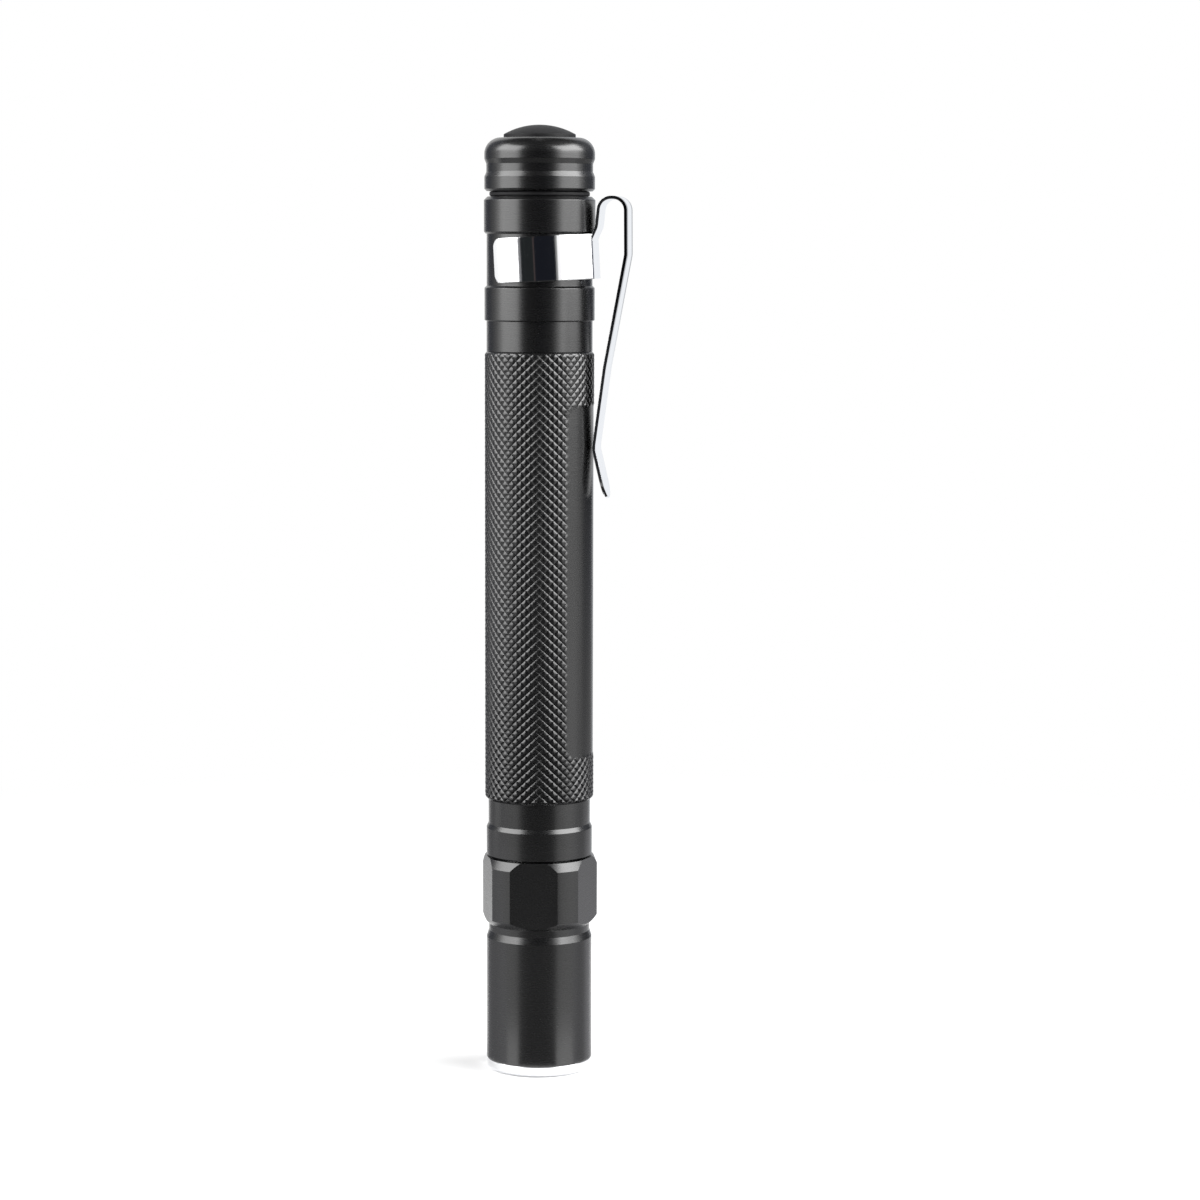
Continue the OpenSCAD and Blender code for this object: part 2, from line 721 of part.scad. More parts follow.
// Steel can of a cell with its nub, the nub towards the front
module cell_can(z) {
    can_r = cell_r - wrap_t;
    color("lightgray") {
        disc(nub_d / 2, z, z + nub_h);
        disc(can_r, z + nub_h, z + cell_len);
    }
}

// Plastic wrap around a cell, a little short of its rear end
module cell_wrap(z) {
    color("#2f4a63") ring(cell_r, cell_r - wrap_t, z + nub_h - seal_h, z + cell_len - slip);
}

// Grey seal between a cell's nub and its wrap
module cell_seal(z) {
    color("gray")
        ring(cell_r - wrap_t, nub_d / 2 + nub_gap, z + nub_h - seal_h, z + nub_h);
}

// Front cell's can
module front_cell_can() { cell_can(z_nub); }

// Front cell's wrap
module front_cell_wrap() { cell_wrap(z_nub); }

// Front cell's seal
module front_cell_seal() { cell_seal(z_nub); }

// Rear cell's can
module rear_cell_can() { cell_can(z_nub + cell_len); }

// Rear cell's wrap
module rear_cell_wrap() { cell_wrap(z_nub + cell_len); }

// Rear cell's seal
module rear_cell_seal() { cell_seal(z_nub + cell_len); }

// Outline of the band in plan: a ring that runs out to a flat pad, whose sides slope
// into the ring a little more steeply than its tangents
module band_outline(r, pad_w) {
    touch = atan2(pad_w / 2, r) + acos(r / norm([r, pad_w / 2]));
    inside = 0.97 * r;
    circle(r = r);
    polygon([
        [0, 0], [inside * cos(touch), -inside * sin(touch)], [r, -pad_w / 2],
        [r, pad_w / 2], [inside * cos(touch), inside * sin(touch)]
    ]);
}

// Cutter that rounds one free corner of the band
module band_corner_cut(side, up) {
    rotate(side * (180 - band_open / 2)) rotate([0, 90, 0])
        translate([-up * band_h / 2, 0, band_r - past])
            linear_extrude(height = clip_t + 2 * past) difference() {
                translate([up > 0 ? -past : -band_corner, side > 0 ? -band_corner : -past])
                    square(band_corner + past);
                translate([up * band_corner, -side * band_corner]) circle(r = band_corner);
            }
}

// Spring steel band around the tube with the inner leg of the clip's loop, which stands
// on the band's flat pad
module clip_band() {
    pad_w = clip_w + 2 * slip;
    reach = 3 * band_r;
    spread = reach * tan(band_open / 2);
    color("silver") {
        translate([0, 0, z_band_mid]) rotate([0, -band_lean, 0]) difference() {
            translate([0, 0, -band_h / 2]) linear_extrude(height = band_h) difference() {
                band_outline(band_r + clip_t, pad_w);
                band_outline(band_r, pad_w);
                polygon([[0, 0], [-reach, spread], [-reach, -spread]]);
            }
            for (side = [-1, 1], up = [-1, 1]) band_corner_cut(side, up);
        }
        bent_strip(band_leg, clip_t, clip_w);
    }
}

// Spring arm of the clip: over the loop's crest, down to the contact bend, round tip
module clip_arm() {
    z_tip = z_bump - tip_len;
    tip_r = clip_w / 2;
    color("silver") intersection() {
        bent_strip(arm_leg, clip_t, clip_w);
        rotate([0, 90, 0]) linear_extrude(height = 2 * x_outer_leg) {
            translate([-z_tip - tip_r, 0]) circle(r = tip_r);
            translate([-z_loop - past, -tip_r])
                square([z_loop + past - z_tip - tip_r, clip_w]);
        }
    }
}

// Rubber seal in the gap between the tube and the tail cap
module tail_seal() {
    color("#151515")
        seal(cap_skirt_r + seal_clear, tail_seal_t, z_tube_end + run, z_cap - run);
}

// Black aluminium tail cap: threaded skirt, grooved and rounded outside
module tail_cap() {
    cap_r = cap_d / 2;
    crest_cut = 0.05;
    z_round = z_cap_end - cap_round + crest_cut;
    z_groove = z_cap_end - cap_groove_back;
    color("#1c1c1e") difference() {
        rotate_extrude() intersection() {
            union() {
                translate([0, z_cap_skirt]) square([cap_skirt_r, z_cap_end - z_cap_skirt]);
                polygon([
                    [0, z_cap], [cap_r - cap_chamfer, z_cap], [cap_r, z_cap + cap_chamfer],
                    [cap_r, z_groove - cap_groove_w],
                    [cap_r - cap_groove_depth, z_groove - cap_groove_w + cap_groove_slope],
                    [cap_r - cap_groove_depth, z_groove - cap_groove_slope],
                    [cap_r, z_groove], [cap_r, z_round], [0, z_round]
                ]);
                translate([0, z_round]) square([cap_r - cap_round, cap_round]);
                translate([cap_r - cap_round, z_round]) circle(r = cap_round);
            }
            translate([0, z_cap_skirt]) square([cap_r, z_cap_end - z_cap_skirt]);
        }
        disc(cap_bore_r, z_cap_skirt - past, z_cap_wall);
        disc(button_hole_r, z_cap_wall - past, z_cap_end + past);
    }
}

// Threaded ring that holds the switch in the tail cap, with two spanner slots
module retaining_ring() {
    z_top = z_switch_board - fit;
    color("goldenrod") difference() {
        ring(module_r, module_r - retainer_w, z_top - retainer_t, z_top);
        translate([-cell_d, -retainer_slot / 2, z_top - retainer_t - past])
            cube([2 * cell_d, retainer_slot, retainer_t / 2 + past]);
    }
}

// Conical spring that presses on the rear cell
module tail_spring() {
    color("silver")
        coil(tail_spring_r[0], tail_spring_r[1], z_cells_end + run, z_switch_board - fit,
            tail_spring_turns, tail_spring_wire_r);
}

// Round board under the switch
module switch_board() {
    color("darkgreen") disc(module_r, z_switch_board, z_housing);
}

// A brass contact strip beside the switch's housing
module switch_contact(side) {
    strip = [contact_t, 1.6, 3];
    away = housing_d / 2 + contact_t / 2 + fit;
    color("gold") translate([side * away, 0, z_housing + strip[2] / 2])
        cube(strip, center = true);
}

// Left contact strip
module switch_contact_left() { switch_contact(-1); }

// Right contact strip
module switch_contact_right() { switch_contact(1); }

// Plastic housing of the switch, open below, with a hole for the stem
module switch_housing() {
    color("#e8e4d8") difference() {
        disc(housing_d / 2, z_housing, z_washer);
        disc(housing_in_r, z_housing - past, z_housing_top_in);
        disc(stem_d / 2 + slip, z_housing_top_in - past, z_washer + past);
    }
}

// Return spring inside the switch
module switch_spring() {
    color("silver")
        coil(switch_spring_r, switch_spring_r, z_housing + run, z_ratchet - run,
            switch_spring_turns, switch_spring_wire_r);
}

// Ratchet that turns under the plunger at each press, with its latching teeth
module switch_ratchet() {
    teeth = 4;
    notch = 0.8;
    color("tomato") difference() {
        disc(ratchet_r, z_ratchet, z_ratchet + ratchet_h);
        for (i = [0 : teeth - 1])
            rotate(i * 360 / teeth) translate([ratchet_r, 0, z_ratchet + ratchet_h / 2])
                cube([notch, notch, ratchet_h + 2 * past], center = true);
    }
}

// Plunger that carries the button's push into the switch
module switch_plunger() {
    color("#e8e4d8") {
        disc(ratchet_r, z_stem_flange, z_stem_flange + stem_flange_t);
        disc(stem_d / 2, z_stem_flange, z_stem_top);
    }
}

// Plastic washer between the button's flange and the switch
module button_washer() {
    color("#d8d8d0") ring(module_r, washer_hole_d / 2, z_washer, z_button_flange);
}

// Rubber button: flange under the end wall, straight step and a hollow dome
module button_boot() {
    in_r = button_r - button_wall;
    color("#202022") difference() {
        union() {
            disc(module_r, z_button_flange, z_cap_wall - fit);
            intersection() {
                disc(button_r, z_button_flange, z_button_top);
                translate([0, 0, z_dome_centre]) sphere(r = button_dome_r);
            }
        }
        intersection() {
            disc(in_r, z_button_flange - past, z_button_top);
            translate([0, 0, z_dome_centre]) sphere(r = button_hollow_r);
        }
    }
}

rim_ring();
lens();
lens_gasket();
reflector();
led_collar();
led_dome();
led_base();
led_board();
heat_sink();
lead_wire_plus();
lead_wire_minus();
driver_parts();
driver_board();
front_spring();
head_shell();
front_seal();
body_tube();
front_cell_can();
front_cell_wrap();
front_cell_seal();
rear_cell_can();
rear_cell_wrap();
rear_cell_seal();
clip_band();
clip_arm();
tail_seal();
tail_cap();
retaining_ring();
tail_spring();
switch_board();
switch_contact_left();
switch_contact_right();
switch_housing();
switch_spring();
switch_ratchet();
switch_plunger();
button_washer();
button_boot();
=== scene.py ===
"""Looks of the pen torch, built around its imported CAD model."""

from math import asin, atan2, ceil, cos, degrees, pi, radians, sin, sqrt, tan

import bmesh
import bpy
import numpy as np
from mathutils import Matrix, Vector


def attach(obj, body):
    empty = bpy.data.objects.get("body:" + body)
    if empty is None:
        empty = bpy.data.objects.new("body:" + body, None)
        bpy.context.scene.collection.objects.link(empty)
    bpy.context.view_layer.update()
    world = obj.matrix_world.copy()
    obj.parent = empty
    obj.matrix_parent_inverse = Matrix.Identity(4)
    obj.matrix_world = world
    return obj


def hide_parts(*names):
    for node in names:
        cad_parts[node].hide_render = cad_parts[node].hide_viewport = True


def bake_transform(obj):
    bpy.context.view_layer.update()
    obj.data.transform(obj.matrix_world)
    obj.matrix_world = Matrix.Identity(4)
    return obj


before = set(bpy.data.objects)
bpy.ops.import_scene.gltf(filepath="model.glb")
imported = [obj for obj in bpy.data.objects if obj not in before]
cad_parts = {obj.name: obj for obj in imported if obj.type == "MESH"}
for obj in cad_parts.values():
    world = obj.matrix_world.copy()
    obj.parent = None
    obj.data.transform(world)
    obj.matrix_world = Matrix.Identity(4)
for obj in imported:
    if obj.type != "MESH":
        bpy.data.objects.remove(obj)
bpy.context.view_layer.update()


# ---- Camera --------------------------------------------------------------------------
# A long lens level with the pocket clip, turned a little to the clip's side. It is aimed
# to the right of the torch, so that the clip has room in the frame.
scene = bpy.context.scene
scene.view_settings.view_transform = "Standard"

sensor_mm = 36
frame_pixels = 1200
focal_pixels = 3340
horizon_row = 240
axis_column = 540
view_turn = 10
eye_distance = 0.439
eye_height = 0.1101
tilt = -0.15

camera = bpy.data.objects.new("camera", bpy.data.cameras.new("camera"))
camera.data.sensor_width = sensor_mm
camera.data.lens = sensor_mm * focal_pixels / frame_pixels
camera.data.clip_start = 0.01
camera.location = (
    eye_distance * sin(radians(view_turn)),
    -eye_distance * cos(radians(view_turn)),
    eye_height,
)
camera.rotation_euler = (
    pi / 2 - atan2(frame_pixels / 2 - horizon_row, focal_pixels),
    radians(tilt),
    radians(view_turn) - atan2(frame_pixels / 2 - axis_column, focal_pixels),
)
scene.collection.objects.link(camera)
scene.camera = camera


# ---- Studio --------------------------------------------------------------------------
# A white room and a white floor, and two soft boxes on each side. Cards that only gloss
# sees stand round the torch: dark ones in front and above, grey behind and on the floor.
class Socket:
    """An output of a shader node, which takes part in sums as a number does."""

    def __init__(self, tree, output=None):
        self.tree = tree
        self.output = output

    def node(self, kind, settings=None, inputs=None, output=0):
        """A new node: first its settings, then the values or links of its sockets."""
        made = self.tree.nodes.new("ShaderNode" + kind)
        for name, value in (settings or {}).items():
            setattr(made, name, value)
        for name, value in (inputs or {}).items():
            if isinstance(value, Socket):
                self.tree.links.new(value.output, made.inputs[name])
            else:
                made.inputs[name].default_value = value
        return Socket(self.tree, made.outputs[output]) if made.outputs else None

    def beside(self, output):
        """Another output of the same node."""
        return Socket(self.tree, self.output.node.outputs[output])

    def math(self, operation, *values):
        return self.node("Math", {"operation": operation}, dict(enumerate(values)))

    def __add__(self, other):
        return self.math("ADD", self, other)

    def __sub__(self, other):
        return self.math("SUBTRACT", self, other)

    def __rsub__(self, other):
        return self.math("SUBTRACT", other, self)

    def __mul__(self, other):
        return self.math("MULTIPLY", self, other)

    __radd__ = __add__
    __rmul__ = __mul__

    def colour(self, low, high):
        """Goes from the colour low to the colour high as this value goes from 0 to 1."""
        return self.node("Mix", {"data_type": "RGBA"}, {0: self, 6: low, 7: high}, 2)

    def ease(self, start, end):
        """0 before start, 1 after end and smooth between them."""
        return self.node(
            "MapRange",
            {"interpolation_type": "SMOOTHSTEP"},
            {"Value": self, "From Min": start, "From Max": end},
        )


def seen_directly(start):
    """1 for what the camera, gloss and glass see, 0 for the light that falls on things."""
    path = start.node("LightPath", output="Is Camera Ray")
    total = path + path.beside("Is Glossy Ray") + path.beside("Is Transmission Ray")
    return total.math("MINIMUM", total, 1)


room_light = 0.45
world = bpy.data.worlds.new("room")
world.use_nodes = True
scene.world = world
start = Socket(world.node_tree)
seen = seen_directly(start)
background = world.node_tree.nodes["Background"]
background.inputs["Color"].default_value = (1, 1, 1, 1)
world.node_tree.links.new(
    (seen + (1 - seen) * room_light).output, background.inputs["Strength"]
)

floor_size, floor_drop = 40, 0.00002
white_from, white_to = 0.04, 0.25
floor_mesh = bpy.data.meshes.new("floor")
corners = [(-1, -1), (1, -1), (1, 1), (-1, 1)]
floor_mesh.from_pydata(
    [(x * floor_size / 2, y * floor_size / 2, 0) for x, y in corners], [], [range(4)]
)
floor = bpy.data.objects.new("floor", floor_mesh)
floor.location.z = -floor_drop
scene.collection.objects.link(floor)

floor_paint = bpy.data.materials.new("floor_paint")
floor_paint.use_nodes = True
floor_paint.node_tree.nodes.clear()
start = Socket(floor_paint.node_tree)
place = start.node("TexCoord", output="Object")
away = start.node("VectorMath", {"operation": "LENGTH"}, {0: place}, "Value")
matt = start.node("BsdfDiffuse", None, {"Color": (0.93, 0.93, 0.93, 1)})
white = start.node("Emission", None, {"Color": (1, 1, 1, 1), "Strength": 1})
far_white = seen_directly(start) * away.ease(white_from, white_to)
shown = start.node("MixShader", None, {0: far_white, 1: matt, 2: white})
start.node("OutputMaterial", None, {"Surface": shown})
floor_mesh.materials.append(floor_paint)


def toward(turn, rise=0):
    """Unit vector that is turned to the camera's right by turn and lifted by rise."""
    heading = radians(view_turn - 90 + turn)
    lift = radians(rise)
    return Vector((cos(lift) * cos(heading), cos(lift) * sin(heading), sin(lift)))


box_distance, box_aim = 1.0, Vector((0, 0, 0.06))


def soft_box(name, turn, rise, width, height, radiance):
    """A rectangular lamp that gloss sees as a surface of the given radiance."""
    lamp = bpy.data.lights.new(name, "AREA")
    lamp.shape = "RECTANGLE"
    lamp.size = width
    lamp.size_y = height
    lamp.energy = radiance * pi * width * height
    box = bpy.data.objects.new(name, lamp)
    box.location = toward(turn, rise) * box_distance + box_aim
    box.rotation_euler = toward(turn, rise).to_track_quat("Z", "Y").to_euler()
    box.visible_camera = False
    scene.collection.objects.link(box)


for side, word in ((-1, "left"), (1, "right")):
    soft_box(
        f"soft_box_{word}_low", turn=67.5 * side, rise=8,
        width=0.86, height=0.36, radiance=2.2,
    )
    soft_box(
        f"soft_box_{word}_high", turn=78 * side, rise=39,
        width=1.16, height=0.72, radiance=4.75 + 0.95 * side,
    )

body_reach = 0.007
card_reach, near_reach, ceiling_reach = 0.5, 0.2, 0.36
card_top, card_lift = 0.5, 0.0001
card_steps = 24


def gloss_card(name, turns, sweep, colour, one_sided=False):
    """A card that follows sweep, in reach and height, between two turns.

    Its sides run along the rays that the torch's round body reflects. Only gloss sees it.
    """
    mesh = bpy.data.meshes.new(name)
    points = []
    for step in range(card_steps + 1):
        turn = (turns[0] + (turns[1] - turns[0]) * step / card_steps + 180) % 360 - 180
        foot, ray = toward(turn / 2) * body_reach, toward(turn)
        for reach, height in sweep:
            points.append((foot.x + ray.x * reach, foot.y + ray.y * reach, height))
    rows = len(sweep)
    faces = [
        (step * rows + row, (step + 1) * rows + row, (step + 1) * rows + row + 1,
         step * rows + row + 1)
        for step in range(card_steps)
        for row in range(rows - 1)
    ]
    mesh.from_pydata(points, [], faces)
    card = bpy.data.objects.new(name, mesh)
    scene.collection.objects.link(card)
    card.visible_camera = False
    card.visible_diffuse = False
    card.visible_transmission = False
    card.visible_shadow = False
    paint = bpy.data.materials.new(name)
    paint.use_nodes = True
    paint.node_tree.nodes.clear()
    start = Socket(paint.node_tree)
    shown = start.node("Emission", None, {"Color": (*colour, 1), "Strength": 1})
    if one_sided:
        back = start.node("NewGeometry", output="Backfacing")
        clear = start.node("BsdfTransparent", None, {"Color": (1, 1, 1, 1)})
        shown = start.node("MixShader", None, {0: back, 1: shown, 2: clear})
    start.node("OutputMaterial", None, {"Surface": shown})
    paint.cycles.emission_sampling = "NONE"
    mesh.materials.append(paint)


lying = [(0.0015, 0.0012), (0.013, card_lift), (near_reach, card_lift)]
lying_clear = [(0.025, card_lift), (near_reach, card_lift)]
lying_far = [(near_reach, card_lift), (card_reach, card_lift)]
upright = [(card_reach, 0), (card_reach, card_top)]
standing = [*upright, (0, card_top)]
upright_to_ceiling = [*upright, (ceiling_reach, card_top)]
front_cards = (
    ("floor", (-46, 38), lying, (0.155, 0.155, 0.155)),
    ("floor_far", (-46, 38), lying_far, (0.03, 0.03, 0.03)),
    ("left_fade", (-43, -38), standing, (0.2, 0.2, 0.21)),
    ("left", (-38, -13), standing, (0.015, 0.017, 0.018)),
    ("slit", (-13, -10), standing, (0.05, 0.04, 0.04)),
    ("right", (-10, 32), standing, (0.009, 0.010, 0.014)),
    ("fade", (32, 36), standing, (0.25, 0.25, 0.25)),
)
for word, turns, sweep, colour in front_cards:
    gloss_card(f"card_front_{word}", turns, sweep, colour)

near_zones = (
    (-92, -75, 0.72), (-105, -92, 0.62), (-120, -105, 0.50), (-152, -120, 0.40),
    (80, 92, 0.66), (92, 120, 0.50), (120, 152, 0.75),
)
clear_zones = ((-75, -46, 0.66), (38, 80, 0.75))
far_zones = (
    (-152, -120, 0.30), (-100, -46, 0.25),
    (38, 58, 0.35), (88, 104, 0.55), (104, 152, 0.35),
)
for first, last, glow in near_zones:
    bluish = (glow, glow, 1.04 * glow)
    gloss_card(f"card_floor_{first + 180}", (first, last), lying, bluish)
for first, last, glow in clear_zones:
    gloss_card(f"card_floor_{first + 180}", (first, last), lying_clear, (glow,) * 3)
for first, last, glow in far_zones:
    gloss_card(f"card_floor_far_{first + 180}", (first, last), lying_far, (glow,) * 3)

for turns, word in (((-152, -120), "left"), ((104, 152), "right")):
    gloss_card(f"card_back_{word}", turns, upright_to_ceiling, (0.15, 0.16, 0.19))
gloss_card("card_left_fade", (-120, -104), upright_to_ceiling, (0.35, 0.35, 0.36))
low_strip = [(card_reach, 0.034), (card_reach, 0.086)]
gloss_card("card_right_low", (56, 152), low_strip, (0.03, 0.03, 0.03))
behind = [(0.1, card_lift), (card_reach, card_lift), (card_reach, card_top)]
gloss_card("card_behind", (152, 179.9), behind, (0.88, 0.90, 0.93))
halves = (((-179.9, 0), "left"), ((0, 179.9), "right"))
ceiling = [(0, card_top), (ceiling_reach, card_top)]
for turns, word in halves:
    gloss_card(f"card_ceiling_{word}", turns, ceiling, (0.05, 0.05, 0.05))
skirt = [(0.081, 0.0006), (0.0022, 0.0296)]
for turns, word in halves:
    gloss_card(f"card_skirt_{word}", turns, skirt, (0.02, 0.02, 0.02), one_sided=True)


# ---- Rim ring ------------------------------------------------------------------------
# The bright ring in the barrel's mouth, which holds the lens. It is turned from steel
# bar and polished, and its skirt is pressed into the barrel.
MM = 0.001
flat_margin = 0.03
long_part = 12 * flat_margin


def corner_arc(before, here, after, radius):
    """Centre, first angle and sweep of the arc that rounds the corner at here."""
    back, on = (before - here).normalized(), (after - here).normalized()
    half = back.angle(on) / 2
    middle = here + (back + on).normalized() * radius / sin(half)
    first = here + back * radius / tan(half) - middle
    last = here + on * radius / tan(half) - middle
    begin = atan2(first.y, first.x)
    sweep = (atan2(last.y, last.x) - begin + pi) % (2 * pi) - pi
    return middle, begin, sweep


def rounded(corners, segments=4):
    """An outline whose corners, given as r, z and perhaps a radius, are rounded.

    Extra points near the ends of its long straight parts keep those flat in the shading.
    """
    line = []
    for index, corner in enumerate(corners):
        here = Vector(corner[:2])
        radius = corner[2] if len(corner) > 2 else 0
        if not radius:
            line.append(here)
            continue
        before = Vector(corners[index - 1][:2])
        after = Vector(corners[(index + 1) % len(corners)][:2])
        middle, begin, sweep = corner_arc(before, here, after, radius)
        for step in range(segments + 1):
            angle = begin + sweep * step / segments
            line.append(middle + radius * Vector((cos(angle), sin(angle))))
    held = [line[0]]
    for a, b in zip(line, line[1:]):
        if (b - a).length > long_part:
            inset = (b - a).normalized() * flat_margin
            held += [a + inset, b - inset]
        held.append(b)
    return held


def piece_from(name, points, faces, sharp=35):
    """A smooth shaded object from points in millimetres, with its creases kept sharp."""
    mesh = bpy.data.meshes.new(name)
    mesh.from_pydata([tuple(c * MM for c in point) for point in points], [], faces)
    shell = bmesh.new()
    shell.from_mesh(mesh)
    bmesh.ops.remove_doubles(shell, verts=shell.verts, dist=0.001 * MM)
    bmesh.ops.recalc_face_normals(shell, faces=shell.faces)
    shell.to_mesh(mesh)
    shell.free()
    mesh.polygons.foreach_set("use_smooth", [True] * len(mesh.polygons))
    mesh.set_sharp_from_angle(angle=radians(sharp))
    piece = bpy.data.objects.new(name, mesh)
    scene.collection.objects.link(piece)
    return piece


def turned(name, outline, columns=192):
    """A lathe turned piece: the closed outline, in r and z, goes round the axis."""
    points = []
    for r, z in outline:
        for column in range(columns):
            angle = 2 * pi * column / columns
            points.append((r * cos(angle), r * sin(angle), z))
    rows = len(outline)
    faces = []
    for row in range(rows):
        for column in range(columns):
            after = (column + 1) % columns
            low, high = row * columns, (row + 1) % rows * columns
            faces.append((low + column, low + after, high + after, high + column))
    return piece_from(name, points, faces)


def dressed(piece, surface, slot, body, *nodes):
    """Gives a piece its finish and its body, and hides the CAD nodes it stands for. Its
    slot is not used.
    """
    piece.data.materials.append(surface)
    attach(piece, body)
    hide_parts(*nodes)


def finish(name, fixed, paint):
    """A finish from the shader's fixed sockets and the ones that paint works out."""
    made = bpy.data.materials.new(name)
    made.use_nodes = True
    shader = made.node_tree.nodes["Principled BSDF"]
    for socket, value in fixed.items():
        shader.inputs[socket].default_value = value
    for socket, value in paint(Socket(made.node_tree)).items():
        made.node_tree.links.new(value.output, shader.inputs[socket])
    return made


def spots(start, per_mm, detail=2):
    """Noise from 0 to 1, with its cells per millimetre along x, y and z."""
    place = start.node("TexCoord", output="Object")
    scaled = start.node(
        "VectorMath", {"operation": "MULTIPLY"}, {0: place, 1: [c / MM for c in per_mm]}
    )
    return start.node("TexNoise", None, {"Vector": scaled, "Scale": 1, "Detail": detail})


def relief(start, height, depth_mm, strength=1):
    """Surface normal of a height from 0 to 1 that stands for depth_mm."""
    return start.node(
        "Bump", None,
        {"Height": height, "Distance": depth_mm * MM, "Strength": strength}, "Normal"
    )


def polished_steel_paint(start):
    lines = spots(start, (0.5, 0.5, 6))
    cloud = spots(start, (0.4, 0.4, 0.4))
    return {
        "Base Color": cloud.colour((0.83, 0.84, 0.86, 1), (0.90, 0.90, 0.91, 1)),
        "Roughness": 0.10 + 0.06 * lines,
        "Normal": relief(start, lines, 0.0006),
    }


polished_steel = finish("polished_steel", {"Metallic": 1}, polished_steel_paint)
rim_bore_r, rim_r, rim_h, rim_bevel = 5.3, 6.95, 1.4, 0.4
rim_skirt_in_r, rim_skirt_r, rim_skirt_to = 5.95, 6.25, 3.7
rim = turned("steel_rim", rounded([
    (rim_bore_r, rim_bevel, 0.12), (rim_bore_r + rim_bevel, 0, 0.2),
    (rim_r - rim_bevel, 0, 0.25), (rim_r, rim_bevel, 0.2), (rim_r, rim_h, 0.05),
    (rim_skirt_r, rim_h), (rim_skirt_r, rim_skirt_to), (rim_skirt_in_r, rim_skirt_to),
    (rim_skirt_in_r, rim_h), (rim_bore_r, rim_h, 0.05),
]))
dressed(rim, polished_steel, "polished_steel", "head", "rim_ring")


# ---- Lens and gasket -----------------------------------------------------------------
# The clear window behind the rim ring, ground from glass with broken edges, and the
# moulded rubber ring that seats it on the reflector and keeps the water out.
lens_r, lens_from, lens_to = 5.9, 1.42, 2.6
gasket_bore_r, gasket_to = 5.2, 3.4


def glass_paint(start):
    dust = spots(start, (3, 3, 3), 3)
    return {
        "Base Color": dust.colour((0.95, 0.985, 0.99, 1), (0.985, 1.0, 1.0, 1)),
        "Roughness": 0.01 + 0.05 * dust.ease(0.5, 0.8),
    }


clear_glass = finish("clear_glass", {"Transmission Weight": 1, "IOR": 1.5}, glass_paint)
lens = turned("front_window", rounded([
    (0, lens_from), (lens_r, lens_from, 0.15), (lens_r, lens_to, 0.15), (0, lens_to),
]))
dressed(lens, clear_glass, "lens_glass", "head", "lens")


def rubber_paint(start):
    grain = spots(start, (7, 7, 7), 3)
    cloud = spots(start, (0.5, 0.5, 0.5))
    return {
        "Base Color": cloud.colour((0.005, 0.005, 0.006, 1), (0.013, 0.013, 0.014, 1)),
        "Roughness": 0.50 + 0.15 * grain,
        "Normal": relief(start, grain, 0.004),
    }


black_rubber = finish("black_rubber", {"Specular IOR Level": 0.35}, rubber_paint)
gasket = turned("window_gasket", rounded([
    (gasket_bore_r, lens_to, 0.2), (lens_r, lens_to, 0.2), (lens_r, gasket_to, 0.2),
    (gasket_bore_r, gasket_to, 0.2),
]))
dressed(gasket, black_rubber, "rubber_black", "head", "lens_gasket")


# ---- Reflector -----------------------------------------------------------------------
# A smooth parabolic bowl around the emitter. It is moulded and metallised inside, and
# its thick front rim is clamped between the gasket and the heat sink's stack.
mouth_r, mouth_edge, bowl_hole_r = 5.2, 0.1, 1.9
bowl_from, bowl_to, bowl_steps = 3.4, 11.0, 28
flange_r, flange_to, bowl_back_r = 5.9, 4.6, 2.9


def mirror_paint(start):
    ripple = spots(start, (0.8, 0.8, 0.8), 1)
    haze = spots(start, (2.5, 2.5, 2.5), 3)
    return {
        "Base Color": haze.colour((0.86, 0.87, 0.88, 1), (0.93, 0.93, 0.93, 1)),
        "Roughness": 0.03 + 0.06 * haze,
        "Normal": relief(start, ripple, 0.002),
    }


bowl_mirror = finish("bowl_mirror", {"Metallic": 1}, mirror_paint)
bowl_spread = (mouth_r**2 - bowl_hole_r**2) / (bowl_to - bowl_from)
bowl_line = []
for step in range(bowl_steps + 1):
    depth = (bowl_to - bowl_from) * (1 - step / bowl_steps) ** 1.5
    bowl_r = sqrt(bowl_hole_r**2 + bowl_spread * depth)
    bowl_line.append(Vector((bowl_r, bowl_to - depth)))
bowl_line += rounded([
    (bowl_back_r, bowl_to, 0.1), (flange_r, flange_to, 0.3), (flange_r, bowl_from, 0.1),
    (mouth_r + mouth_edge, bowl_from),
])[:-1]
reflector = turned("bowl_reflector", bowl_line)
dressed(reflector, bowl_mirror, "reflector_metal", "head", "reflector")


# ---- Emitter -------------------------------------------------------------------------
# A yellow phosphor chip under a clear dome on a square ceramic base. The base is soldered
# to a round board, and a white moulded collar centres it under the reflector.
def moulded(name, low, high, roughness, grain_mm=0.004, coat=0):
    """Moulded plastic or ceramic between two colours, with a fine grain."""
    def paint(start):
        grain = spots(start, (6, 6, 6), 3)
        cloud = spots(start, (0.4, 0.4, 0.4))
        return {
            "Base Color": cloud.colour((*low, 1), (*high, 1)),
            "Roughness": roughness - 0.05 + 0.12 * grain,
            "Normal": relief(start, grain, grain_mm),
        }

    return finish(name, {"Coat Weight": coat}, paint)


def carried(surface, *nodes):
    """Gives CAD pieces that stay as they are their finish."""
    for node in nodes:
        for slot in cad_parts[node].material_slots:
            slot.material = surface


chip_r, chip_edge_r, chip_grain = 0.7 * MM, 1.1 * MM, 0.1 * MM


